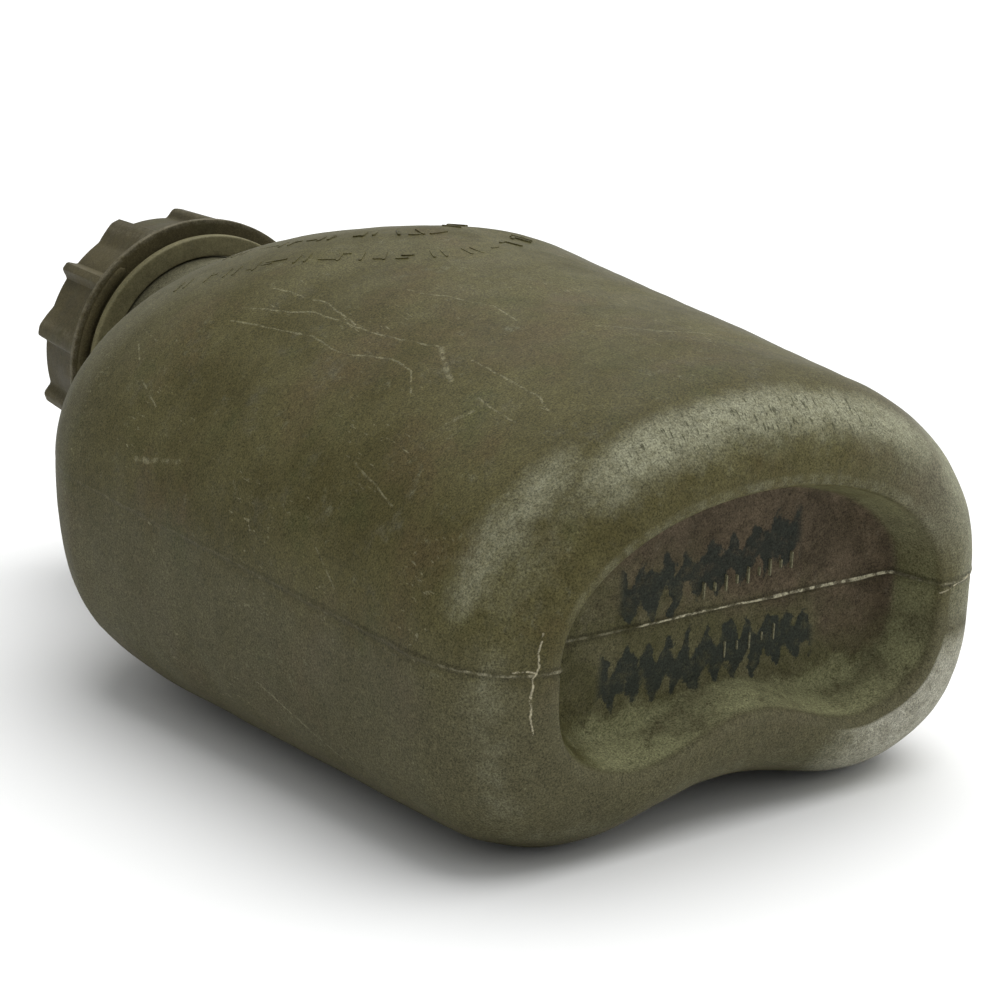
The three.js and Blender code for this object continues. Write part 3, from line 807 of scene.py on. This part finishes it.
def seam_colour(s, colour, floor):
    """A pale torn flash on the foot, hardly more than a dirty line up the sides, and the lip's cracks."""
    seam, x, y = s.mask("seam"), s.part("X"), s.part("Y")
    start, end = FLASH_ENDS
    on_floor = s.times(floor, s.times(s.span(x, start, start + 0.002), s.span(x, end - 0.002, end, 1.0, 0.0)))
    shown = s.math("MAXIMUM", on_floor, s.span(y, 0.004, 0.016, 0.35, 0.06))
    pale = s.blots(2.0, 4, 0.6, 0.43, 0.58, 0.1, 1.0)
    dirt = s.times(s.span(seam, 0.30, 0.70), s.span(y, 0.010, 0.110, 0.40, 0.12))
    colour = s.mix(dirt, colour, SEAM_DIRT)
    colour = s.mix(s.times(s.span(seam, 0.88, 0.98), pale, shown), colour, FLASH)
    from_crack = s.strokes(s.plane(x, s.part("Z"), 1.6), RIM_CRACKS)
    on_foot = s.span(y, 0.0012, 0.0030, 1.0, 0.0)
    crack = s.times(s.span(from_crack, 0.00008, 0.00020, 0.7, 0.0), on_foot, s.blots(1.6, 4, 0.7, 0.42, 0.54))
    return s.mix(crack, colour, CRACK)


def rim_colour(s, colour, worn_colour):
    """The foot's rounding, rubbed pale, with a painted highlight at the front and painted light at the lower
    right, where it is also paler and greyer. It is nicked at the front, and a painted highlight runs along
    the recess's lip. Also where the nicks are."""
    worn = s.mask("worn")
    ragged = s.math("ADD", worn, s.drift(1.3, 8, 8, 0.76))
    streaks = s.span(s.noise(2.4, 6, 0.75, s.moved(scale=(1.0, 2.0, 1.0))), 0.34, 0.60, 0.60, 1.0)
    rubbed = s.times(s.span(ragged, 0.15, 1.25), s.span(worn, 0.02, 0.40), streaks)
    # Paler, greyer rubbing at the lower right: wear and painted light.
    frosted_and_lit = s.times(s.span(s.part("X"), 0.010, 0.034), s.span(s.part("Z"), -0.002, -0.018))
    colour = s.mix(rubbed, colour, s.mix(frosted_and_lit, worn_colour, FROST_AND_LIGHT))
    slanted = s.moved(scale=(2.2, 0.6, 0.8), rotation=(0, 0.5, 0.6))
    nicks = s.times(s.span(s.noise(1.5, 3, 0.6, slanted), 0.58, 0.66), s.span(s.mask("nicked"), 0.2, 0.7))
    colour = s.mix(s.times(nicks, 0.7), colour, NICK)
    # A painted highlight along the recess's lip, in the pale rubbed colour.
    lip = s.times(s.mask("lip"), s.blots(3, 6, 0.7, 0.40, 0.62, 0.05, 0.28))
    return s.mix(lip, colour, worn_colour), nicks


def scratch_colour(s, colour):
    """Long thin scratches, short gouges and swarms of fine ones, all off the foot."""
    round_it = s.plane(s.mask("girth"), s.part("Y"), 1.8)
    scratch = s.span(s.strokes(round_it, SCRATCHES), 0.00005, 0.00026, 0.52, 0.0)
    gouge = s.span(s.strokes(round_it, GOUGES), 0.0001, 0.0007, 0.50, 0.0)
    broken = s.blots(2.6, 6, 0.75, 0.40, 0.58, 0.08, 1.0)
    swarm = s.noise(1.1, 2, 0.6, s.moved(scale=(3.2, 0.45, 1.0), rotation=(0, 0, 0.5)))
    fine = s.times(s.span(swarm, 0.63, 0.72, 0.0, 0.55), s.blots(15, 2, 0.5, 0.50, 0.66, at=(0.2, 0.8, 0.3)))
    marks = s.math("MAXIMUM", s.times(s.math("MAXIMUM", scratch, gouge), broken), fine)
    return s.mix(s.times(marks, s.span(s.part("Y"), 0.010, 0.016)), colour, SCRATCH)


def bottle_plastic(dark, light, worn_colour, stain):
    s = Shader("olive_bottle_plastic")
    floor = s.mask("floor")
    colour, dust = body_colour(s, dark, light, stain)
    colour, nicks = rim_colour(s, colour, worn_colour)
    colour = recess_colour(s, colour)
    colour = seam_colour(s, colour, floor)
    colour = scratch_colour(s, colour)
    colour = s.mix(marker_scribble(s, floor), colour, INK)
    colour = s.mix(s.times(s.mask("mark"), 0.6), colour, RUBBED_BAR)
    colour = s.tone(colour, grain(s, 0.42, 1.60))
    rough = s.blots(14, 6, 0.6, 0.3, 0.7, 0.52, 0.64)
    rough = s.math("ADD", rough, s.times(s.math("MAXIMUM", dust, floor), 0.14), clamp=True)
    pits = s.bump(s.noise(0.7, 3, 0.7), 0.06, 0.4)
    dents = s.bump(s.noise(3.4, 5, 0.65), 0.20, 0.30, pits)
    return s.finish(colour, rough, s.bump(nicks, -0.10, 0.8, dents), specular=0.10)


def marker_scribble(s, floor):
    """Two fat rows of worn black marker, a plain back-and-forth scribble, on the recess floor."""
    x, z = s.part("X"), s.part("Z")
    wobble = s.drift(0.006, 5, 4, 0.6)
    tattered = s.drift(0.005, 1.7, 6, 0.75, at=(0.6, 0, 0))
    uneven = s.blots(6, 2, 0.5, 0.35, 0.65, 0.75, 1.5, at=(0.1, 0, 0.4))
    rows = []
    for middle, slope, left, right, tall, count in MARKER_ROWS:
        centre = s.math("MULTIPLY_ADD", x, slope, middle)
        phase = s.times(s.math("ADD", x, wobble), count / (right - left))
        zigzag = s.times(s.math("SINE", s.times(phase, TAU)), tall, uneven)
        off = s.math("ABSOLUTE", s.math("SUBTRACT", s.math("ADD", z, wobble), s.math("ADD", centre, zigzag)))
        stroke = s.span(s.math("ADD", off, tattered), 0.0027, 0.0037, 1.0, 0.0)
        ends = s.times(s.span(x, left, left + 0.002), s.span(x, right - 0.002, right, 1.0, 0.0))
        rows.append(s.times(stroke, ends))
    worn_through = s.blots(2.2, 6, 0.7, 0.32, 0.52, 0.55, 1.0)
    return s.times(s.math("MAXIMUM", *rows), worn_through, s.span(floor, 0.9, 1.0), 0.92)


def cap_plastic(base, worn_colour):
    s = Shader("olive_cap_plastic")
    colour = s.mix(s.blots(12, 5, 0.6, 0.35, 0.68), base, tuple(c * 1.4 for c in base))
    colour = s.mix(s.blots(8, 5, 0.6, 0.50, 0.72, 0.0, 0.6, at=(0.4, 0.5, 0.1)), colour, CAP_GREEN)
    rubbed = s.times(s.mask("worn"), s.blots(1.8, 6, 0.7, 0.36, 0.6, 0.1, 0.9))
    colour = s.tone(s.mix(rubbed, colour, worn_colour), grain(s, 0.66, 1.34))
    pits = s.bump(s.noise(0.7, 3, 0.7), 0.05, 0.35)
    scuff = s.bump(s.noise(2.6, 5, 0.7), 0.15, 0.35, pits)
    return s.finish(colour, s.blots(6, 5, 0.6, 0.3, 0.7, 0.50, 0.66), scuff, specular=0.09)


def soft_plastic(name, base, kept_place=True):
    s = Shader(name, kept_place)
    colour = s.mix(s.blots(8, 5, 0.6, 0.35, 0.68), base, tuple(c * 1.35 for c in base))
    colour = s.mix(s.blots(2.4, 6, 0.7, 0.55, 0.8, 0.0, 0.5), colour, STRAP_DUST)
    colour = s.tone(colour, grain(s, 0.72, 1.28))
    pits = s.bump(s.noise(0.9, 3, 0.6), 0.06, 0.4)
    return s.finish(colour, s.blots(4, 4, 0.6, 0.3, 0.7, 0.48, 0.66), pits, specular=0.16)


def seal_rubber(base):
    s = Shader("black_seal_rubber", kept_place=False)
    colour = s.mix(s.blots(3, 6, 0.7, 0.5, 0.8, 0.0, 0.5), base, RUBBER_BLOOM)
    return s.finish(colour, 0.72, s.bump(s.noise(0.5, 3, 0.6), 0.04, 0.4))


def pin_steel():
    s = Shader("dull_steel", kept_place=False)
    tarnish = s.blots(1.6, 6, 0.7, 0.45, 0.75)
    s.surface.inputs["Metallic"].default_value = 1.0
    scuffs = s.bump(s.noise(0.4, 3, 0.6), 0.02, 0.5)
    return s.finish(s.mix(tarnish, STEEL, TARNISH), s.span(tarnish, 0, 1, 0.32, 0.6), scuffs)


# ---- settings a user would change ----------------------------------------------------------------------
def colour_prop(name, value, description):
    return bpy.props.FloatVectorProperty(
        name=name, description=description, subtype="COLOR", size=3, min=0, max=1, default=value)


def angle_prop(name, degrees, description):
    return bpy.props.FloatProperty(
        name=name, description=description, subtype="ANGLE", default=math.radians(degrees))


class CanteenColours(bpy.types.PropertyGroup):
    dark: colour_prop("Olive, dark", (0.062, 0.054, 0.0185), "Darker olive of the bottle's mottling")
    light: colour_prop("Olive, light", (0.086, 0.077, 0.031), "Lighter olive of the bottle's mottling")
    # This colour also paints the highlight along the recess's lip and in the foot's front band, and the
    # painted light at the lower right.
    worn: colour_prop("Rubbed rim", (0.225, 0.222, 0.148), "Pale grey-green of the rubbed foot and edges")
    stain: colour_prop("Stain", (0.080, 0.060, 0.026), "Brown staining in the mottling")
    cap: colour_prop("Cap", (0.056, 0.047, 0.023), "Olive brown of the cap")
    cap_worn: colour_prop("Cap edges", (0.13, 0.115, 0.075), "Rubbed edges of the cap")
    strap: colour_prop("Strap", (0.118, 0.106, 0.055), "Olive of the strap")
    rubber: colour_prop("Rubber", (0.012, 0.012, 0.011), "Black of the seals")


class CanteenView(bpy.types.PropertyGroup):
    azimuth: angle_prop("Azimuth", -34.08, "Camera's turn round the canteen")
    elevation: angle_prop("Elevation", 13.98, "Camera's height over the horizon")
    roll: angle_prop("Roll", -0.19, "Camera's turn about its own axis")
    distance: bpy.props.FloatProperty(
        name="Distance", description="Camera's distance from its target", unit="LENGTH", default=0.4559)
    lens: bpy.props.FloatProperty(name="Lens", description="Focal length", unit="CAMERA", default=88.02)


def colours():
    return bpy.context.scene.canteen_colours


# ---- one operator for each piece -------------------------------------------------------------------------
class CANTEEN_OT_bottle(bpy.types.Operator):
    """Make the blow-moulded bottle with its thread, foot recess and moulded bars"""
    bl_idname = "canteen.bottle"
    bl_label = "Bottle"

    def execute(self, context):
        shell = shade(bottle_shell(), 60)
        thread = shade(ridge("thread", NECK_R, NECK_R + THREAD_DEPTH, THREAD_START, 2.4, 1.0), 40)
        bars = [shade(bar, 50) for bar in shoulder_bars() + floor_bars()]
        bottle = merge("bottle", [shell, thread, *bars])
        c = colours()
        plastic = bottle_plastic(tuple(c.dark), tuple(c.light), tuple(c.worn), tuple(c.stain))
        settle(bottle, "canteen", "bottle", plastic, "canteen_body")
        return {"FINISHED"}


def lug_flank(lug, side):
    """How wide one flank of the lug at an angle is. The cap is moulded in two halves, and a flank that
    would catch in its half lies along that half's pull; every other flank has a steep draft."""
    from_pull = (lug - PARTING) % 180 - 90
    catches = side * from_pull > 0 and abs(from_pull) < 80
    lean = math.radians(max(abs(from_pull), LUG_DRAFT) if catches else LUG_DRAFT)
    tip = CAP_EDGE_R + LUG_HEIGHT
    inward = tip * math.cos(lean)
    slope = inward - math.sqrt(inward**2 - (tip**2 - CAP_EDGE_R**2))
    return math.degrees(math.atan2(slope * math.sin(lean), tip - slope * math.cos(lean)))


def lug_share(angle):
    """How far up a lug each angle is, 0 in the valley and 1 on the crest, with softened corners."""
    places, rises = [], []
    for i in range(LUG_COUNT):
        lug = LUG_PHASE + 360 * i / LUG_COUNT
        half = LUG_HALF_CREST
        feet = (-half - lug_flank(lug, -1), half + lug_flank(lug, 1))
        for offset, rise in ((feet[0], 0), (-half, 1), (half, 1), (feet[1], 0)):
            places.append((lug + offset) % 360)
            rises.append(rise)
    order = np.argsort(places)
    places, rises = np.array(places)[order], np.array(rises, float)[order]
    spread = [np.interp(np.degrees(angle) + off, places, rises, period=360)
              for off in np.linspace(-LUG_BLUR, LUG_BLUR, 7)]
    return np.mean(spread, axis=0)


def nearest_share(point, line, shares):
    """The share given along a polyline, at the place on it nearest to a point."""
    best = (1e9, 0)
    for a, b, low, high in zip(line, line[1:], shares, shares[1:]):
        run = b - a
        t = float(np.clip(np.dot(point - a, run) / np.dot(run, run), 0, 1))
        best = min(best, (float(np.linalg.norm(point - a - t * run)), low + (high - low) * t))
    return best[1]


def tongue():
    """The raised band with round ends under part of the flange."""
    inner, outer = TONGUE_R
    start, end = np.radians(TONGUE_ANGLES)
    middle, half = (inner + outer) / 2, (outer - inner) / 2
    rows = []
    for angle in np.linspace(start, end, 90):
        from_end = min(angle - start, end - angle) * middle
        wide = half * math.sqrt(max(1 - max(1 - from_end / half, 0) ** 2, 0)) + 0.01
        outline = [(-wide, 0.3), (-wide, -TONGUE_DEEP * 0.55), (-wide * 0.72, -TONGUE_DEEP),
                   (wide * 0.72, -TONGUE_DEEP), (wide, -TONGUE_DEEP * 0.55), (wide, 0.3)]
        rows.append([((middle + dr) * math.cos(angle), FLANGE_Y + dy, (middle + dr) * math.sin(angle))
                     for dr, dy in outline])
    return skin("tongue", capped(rows))


class CANTEEN_OT_cap(bpy.types.Operator):
    """Make the lugged screw cap with its drinking port and hinge ears"""
    bl_idname = "canteen.cap"
    bl_label = "Cap"

    def execute(self, context):
        around = LUG_COUNT * 38
        angle = np.arange(around) * TAU / around
        lug = lug_share(angle)
        top = FLANGE_Y + FLANGE_THICK
        # radius, height, how much of the lug's height stands here, corner radius
        corners = [
            (CAP_BORE_R, FLANGE_Y + 1.6, 0, 0.3), (CAP_BORE_R + 1.4, FLANGE_Y, 0, 0.3),
            (FLANGE_R, FLANGE_Y, 0, 0.3), (FLANGE_R, top, 0, 0.3), (CAP_FOOT_R + 0.15, top + 0.1, 0.86, 0.5),
            (CAP_EDGE_R, CAP_TOP_Y - 0.5, 1, 0.8), (CAP_EDGE_R - 1.9, CAP_TOP_Y, 0.25, 1.4),
            (BOSS_R, CAP_TOP_Y, 0, 0.5), (BOSS_R, BOSS_Y - 1.4, 0, 0.3), (BOSS_LIP, BOSS_Y - 1.1, 0, 0.3),
            (BOSS_LIP, BOSS_Y, 0, 0.4), (PORT_R, BOSS_Y, 0, 0.4), (PORT_R, LEDGE_Y, 0, 0.2),
            (PORT_LEDGE, LEDGE_Y, 0, 0.2), (PORT_LEDGE, PORT_FOOT, 0, 0.3), (PORT_OUTER, PORT_FOOT, 0, 0.3),
            (PORT_OUTER, CEILING_Y, 0, 0.5), (CAP_BORE_R, CEILING_Y, 0, 0.5),
        ]
        start = (CAP_BORE_R, (CEILING_Y + FLANGE_Y) / 2)
        line = np.array([start, *[c[:2] for c in corners], start])
        profile = rounded(line, [c[3] for c in corners], step=1.7)[:-1]
        rows, worn = [], []
        for r, y in profile:
            part = nearest_share((r, y), line, [0, *[c[2] for c in corners], 0])
            reach = r + part * LUG_HEIGHT * lug
            rows.append(np.stack([reach * np.cos(angle), np.full(around, y), reach * np.sin(angle)], axis=1))
            edge = np.exp(-(((lug - 0.8) / 0.2) ** 2)) * (part > 0.1)
            on_flange = float(r > FLANGE_R - 0.35)
            on_top_edge = float(CAP_TOP_Y - 1.2 < y < CAP_TOP_Y and r > CAP_EDGE_R - 1.2)
            worn.append(np.clip(0.5 * edge + on_flange + 0.6 * on_top_edge, 0, 1))
        shell = shade(skin("cap_shell_skin", rows, {"worn": worn}, loop=True), 35)
        start = THREAD_START - PITCH / 2
        thread = shade(ridge("cap_thread", CAP_BORE_R, CAP_BORE_R - THREAD_DEPTH, start, 2.2, 0.8), 40)
        cap = merge("screw_cap", [shell, thread, shade(tongue(), 50), *hinge_ears()])
        settle(cap, "cap", "cap", cap_plastic(tuple(colours().cap), tuple(colours().cap_worn)), "cap_shell")
        return {"FINISHED"}


def bevelled_box(name, low, high, bevel=0.4):
    """A block between two corners, in millimetres, with its edges rounded."""
    deselect()
    bpy.ops.mesh.primitive_cube_add(size=1)
    obj = bpy.context.object
    obj.name = name
    low, high = Vector(low), Vector(high)
    bpy.ops.object.mode_set(mode="EDIT")
    bpy.ops.mesh.select_all(action="SELECT")
    bpy.ops.transform.resize(value=(high - low) * MM)
    bpy.ops.transform.translate(value=(high + low) / 2 * MM)
    bpy.ops.mesh.bevel(offset=bevel * MM, segments=3, affect="EDGES")
    bpy.ops.object.mode_set(mode="OBJECT")
    return shade(obj, 50)


def barrel(name, radius, x0, x1, bore=None, bevel=0.25):
    """A hinge barrel across the cap, between two places along X."""
    corners = [(radius, x0), (radius, x1)]
    if bore:
        corners = [(bore, x0), (radius, x0), (radius, x1), (bore, x1)]
        obj = turned(name, corners, bevel, 40, 0.3)
    else:
        obj = turned(name, [(0, x0), *corners, (0, x1)], bevel, 40, 0.3, closed=False)
    turn = Matrix.Translation((0, HINGE_Y * MM, HINGE_Z * MM)) @ Matrix.Rotation(-math.pi / 2, 4, "Z")
    obj.data.transform(turn)
    return shade(obj, 40)


def hinge_ears():
    parts = []
    shelf_half = HINGE_HALF + 0.3 + HINGE_EAR
    parts.append(bevelled_box("hinge_shelf", (-shelf_half, BOSS_Y - 1.2, HINGE_Z - 3.8),
                              (shelf_half, BOSS_Y, HINGE_Z + 2.2), 0.35))
    for side in (-1, 1):
        inner, outer = side * (HINGE_HALF + 0.3), side * shelf_half
        x0, x1 = min(inner, outer), max(inner, outer)
        parts.append(barrel("ear_barrel", 2.4, x0, x1, 1.45))
        low, high = (x0, BOSS_Y - 0.8, HINGE_Z - 2.3), (x1, HINGE_Y - 1.3, HINGE_Z + 2.3)
        parts.append(bevelled_box("ear_foot", low, high, 0.25))
    return parts


def strap_centre(samples=140):
    """The strap's centre line as evenly spaced (radius, height) points, a smooth curve through its path."""
    p = np.array(STRAP_PATH)
    p = np.concatenate([2 * p[:1] - p[1:2], p, 2 * p[-1:] - p[-2:-1]])
    points = []
    for i in range(1, len(p) - 2):
        for t in np.linspace(0, 1, 24, endpoint=False):
            a, b, c, d = p[i - 1:i + 3]
            square, cube = 2 * a - 5 * b + 4 * c - d, 3 * b - a - 3 * c + d
            points.append(0.5 * (2 * b + (c - a) * t + square * t**2 + cube * t**3))
    points.append(p[-2])
    points = np.array(points)
    along = np.r_[0, np.cumsum(np.linalg.norm(np.diff(points, axis=0), axis=1))]
    even = np.linspace(0, along[-1], samples)
    return np.stack([np.interp(even, along, points[:, k]) for k in (0, 1)], axis=1)


class CANTEEN_OT_tether(bpy.types.Operator):
    """Make the flexible strap with its neck ring and cap loop"""
    bl_idname = "canteen.tether"
    bl_label = "Tether"

    def execute(self, context):
        ring = shade(turned("neck_ring", [(RING_IN, RING_Y[0]), (RING_OUT, RING_Y[0]), (RING_OUT, RING_Y[1]),
                                          (RING_IN, RING_Y[1])], [0.4, 0.5, 0.25, 0.4], 180), 40)
        loop = shade(turned("cap_loop", [(LOOP_IN, LOOP_Y[0]), (LOOP_OUT, LOOP_Y[0]), (LOOP_OUT, LOOP_Y[1]),
                                         (LOOP_IN, LOOP_Y[1])], 0.5, 144), 40)
        centre = strap_centre()
        tangent = np.gradient(centre, axis=0)
        tangent /= np.linalg.norm(tangent, axis=1, keepdims=True)
        half_w, half_t = STRAP_WIDTH / 2, STRAP_THICK / 2
        edge = rounded([(0, -half_t), (half_w, -half_t), (half_w, half_t), (-half_w, half_t),
                        (-half_w, -half_t), (0, -half_t)], [0.8] * 4, step=0.6)[:-1]
        turn = math.radians(STRAP_ANGLE)
        rows = []
        for (r, y), (tr, ty) in zip(centre, tangent):
            row = []
            for across, off in edge:
                radius, height = r - ty * off, y + tr * off
                row.append((radius * math.cos(turn) - across * math.sin(turn), height,
                            radius * math.sin(turn) + across * math.cos(turn)))
            rows.append(row)
        strap = shade(skin("strap", capped(rows)), 50)
        tether = merge("tether", [ring, loop, strap])
        plastic = soft_plastic("olive_strap_plastic", tuple(colours().strap))
        settle(tether, None, "strap", plastic, "tether_neck_ring", "tether_cap_loop")
        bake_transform(tether)
        return {"FINISHED"}


class CANTEEN_OT_cover(bpy.types.Operator):
    """Make the flip cover with its plug, thumb tab and hinge knuckle"""
    bl_idname = "canteen.cover"
    bl_label = "Flip cover"

    def execute(self, context):
        y0, y1 = COVER_Y
        corners = [
            (0, y0), (PLUG_BORE, y0), (PLUG_BORE, PLUG_Y), (PLUG_R, PLUG_Y), (PLUG_R, y0), (COVER_R, y0),
            (COVER_R, y1 - 0.6), (COVER_R - 1.4, y1 - 0.15), (COVER_R - 2.4, y1 - 0.7),
            (COVER_R - 4.2, y1 - 0.7), (COVER_R - 5.2, y1), (0, y1)]
        radii = [0.3, 0.4, 0.5, 0.3, 0.4, 0.6, 0.8, 0.5, 0.5, 0.6]
        lid = shade(turned("lid", corners, radii, 120, 0.4, closed=False), 35)
        tab_end = -COVER_R - COVER_TAB
        tab = bevelled_box("tab", (-4.5, y0 + 0.2, tab_end + 1), (4.5, y0 + 2.0, -COVER_R + 2), 0.6)
        grips = [bevelled_box("grip", (-3.6, y0 + 1.7, z - 0.35), (3.6, y0 + 2.35, z + 0.35), 0.25)
                 for z in np.arange(tab_end + 2.4, -COVER_R - 0.6, 1.3)]
        low, high = (-HINGE_HALF, y0 + 0.4, COVER_R - 1.5), (HINGE_HALF, y1 - 0.4, HINGE_Z)
        web = bevelled_box("web", low, high, 0.3)
        knuckle = barrel("knuckle", 2.1, -HINGE_HALF, HINGE_HALF, 1.45)
        cover = merge("cap_cover", [lid, tab, *grips, web, knuckle])
        settle(cover, "cover", "cap", bpy.data.materials["olive_cap_plastic"], "flip_cover")
        return {"FINISHED"}


class CANTEEN_OT_small_parts(bpy.types.Operator):
    """Finish the seals, the pin seat and the hinge pin"""
    bl_idname = "canteen.small_parts"
    bl_label = "Seals and pin"

    def execute(self, context):
        rubber = seal_rubber(tuple(colours().rubber))
        seat = soft_plastic("olive_seat_plastic", tuple(colours().cap), kept_place=False)
        finishes = {"cap_gasket": rubber, "port_seal": rubber, "cover_seal": rubber,
                    "cover_hinge_pin": pin_steel(), "port_pin_seat": seat}
        for name, material in finishes.items():
            node = frame["nodes"][name]
            node.data.materials.clear()
            node.data.materials.append(material)
        return {"FINISHED"}


LIGHT_FROM = Vector((0.55, 0.10, 0.80)).normalized()
SUN_FROM = Vector((0.35, 0.05, 1.0)).normalized()
SUN_STRENGTH, SUN_SPREAD = 2.5, 70
ROOM_COLOUR, ROOM_STRENGTH = (0.97, 0.985, 1.0), (0.12, 0.95)
PAPER, PAPER_SIZE = (0.86, 0.86, 0.85), 12
CAMERA_SHIFT, CAMERA_AIM_Y = (0.0539, -0.0250), 89.3


def studio_world():
    """A soft white room, brighter overhead and to the right than below and to the left."""
    world = bpy.data.worlds.new("studio")
    world.use_nodes = True
    nodes, links = world.node_tree.nodes, world.node_tree.links
    background = nodes["Background"]
    background.inputs["Color"].default_value = (*ROOM_COLOUR, 1)
    direction = nodes.new("ShaderNodeTexCoord")
    facing = nodes.new("ShaderNodeVectorMath")
    facing.operation = "DOT_PRODUCT"
    facing.inputs[1].default_value = LIGHT_FROM
    links.new(direction.outputs["Generated"], facing.inputs[0])
    strength = nodes.new("ShaderNodeMapRange")
    strength.inputs["From Min"].default_value = -0.5
    strength.inputs["From Max"].default_value = 0.9
    strength.inputs["To Min"].default_value, strength.inputs["To Max"].default_value = ROOM_STRENGTH
    links.new(facing.outputs["Value"], strength.inputs["Value"])
    links.new(strength.outputs["Result"], background.inputs["Strength"])
    return world


class CANTEEN_OT_stage(bpy.types.Operator):
    """Set the pale floor, the soft lights and the camera"""
    bl_idname = "canteen.stage"
    bl_label = "Stage"

    def execute(self, context):
        scene = context.scene
        deselect()
        bpy.ops.mesh.primitive_plane_add(size=PAPER_SIZE)
        floor = context.object
        floor.name = "floor"
        paper = bpy.data.materials.new("pale_floor")
        paper.use_nodes = True
        shader = paper.node_tree.nodes["Principled BSDF"]
        shader.inputs["Base Color"].default_value = (*PAPER, 1)
        shader.inputs["Roughness"].default_value = 0.9
        floor.data.materials.append(paper)
        scene.world = studio_world()
        sun = bpy.data.lights.new("overhead", "SUN")
        sun.energy = SUN_STRENGTH
        sun.angle = math.radians(SUN_SPREAD)
        lamp = bpy.data.objects.new("overhead", sun)
        lamp.rotation_euler = SUN_FROM.to_track_quat("Z", "Y").to_euler()
        scene.collection.objects.link(lamp)
        view = scene.canteen_view
        camera = bpy.data.cameras.new("camera")
        camera.lens = view.lens
        camera.shift_x, camera.shift_y = CAMERA_SHIFT
        obj = bpy.data.objects.new("camera", camera)
        scene.collection.objects.link(obj)
        target = lying(0, CAMERA_AIM_Y, 0)
        az, el = view.azimuth, view.elevation
        back = Vector((math.sin(az) * math.cos(el), -math.cos(az) * math.cos(el), math.sin(el)))
        turn = back.to_track_quat("Z", "Y").to_matrix().to_4x4() @ Matrix.Rotation(view.roll, 4, "Z")
        obj.matrix_world = Matrix.Translation(target + back * view.distance) @ turn
        scene.camera = obj
        return {"FINISHED"}


class CANTEEN_PT_panel(bpy.types.Panel):
    """Lists the pieces"""
    bl_label = "Field canteen"
    bl_space_type = "VIEW_3D"
    bl_region_type = "UI"
    bl_category = "Canteen"

    def draw(self, context):
        for operator in OPERATORS:
            self.layout.operator(operator.bl_idname)
        for name in CanteenColours.__annotations__:
            self.layout.prop(context.scene.canteen_colours, name)


OPERATORS = (CANTEEN_OT_stage, CANTEEN_OT_bottle, CANTEEN_OT_cap, CANTEEN_OT_tether, CANTEEN_OT_cover,
             CANTEEN_OT_small_parts)
CLASSES = (CanteenColours, CanteenView, *OPERATORS, CANTEEN_PT_panel)


def register():
    for cls in CLASSES:
        bpy.utils.register_class(cls)
    bpy.types.Scene.canteen_colours = bpy.props.PointerProperty(type=CanteenColours)
    bpy.types.Scene.canteen_view = bpy.props.PointerProperty(type=CanteenView)


def unregister():
    del bpy.types.Scene.canteen_view
    del bpy.types.Scene.canteen_colours
    for cls in reversed(CLASSES):
        bpy.utils.unregister_class(cls)


def main():
    register()
    bpy.context.scene.view_settings.view_transform = "Standard"
    for operator in OPERATORS:
        group, name = operator.bl_idname.split(".")
        getattr(getattr(bpy.ops, group), name)()


if __name__ == "__main__":
    main()
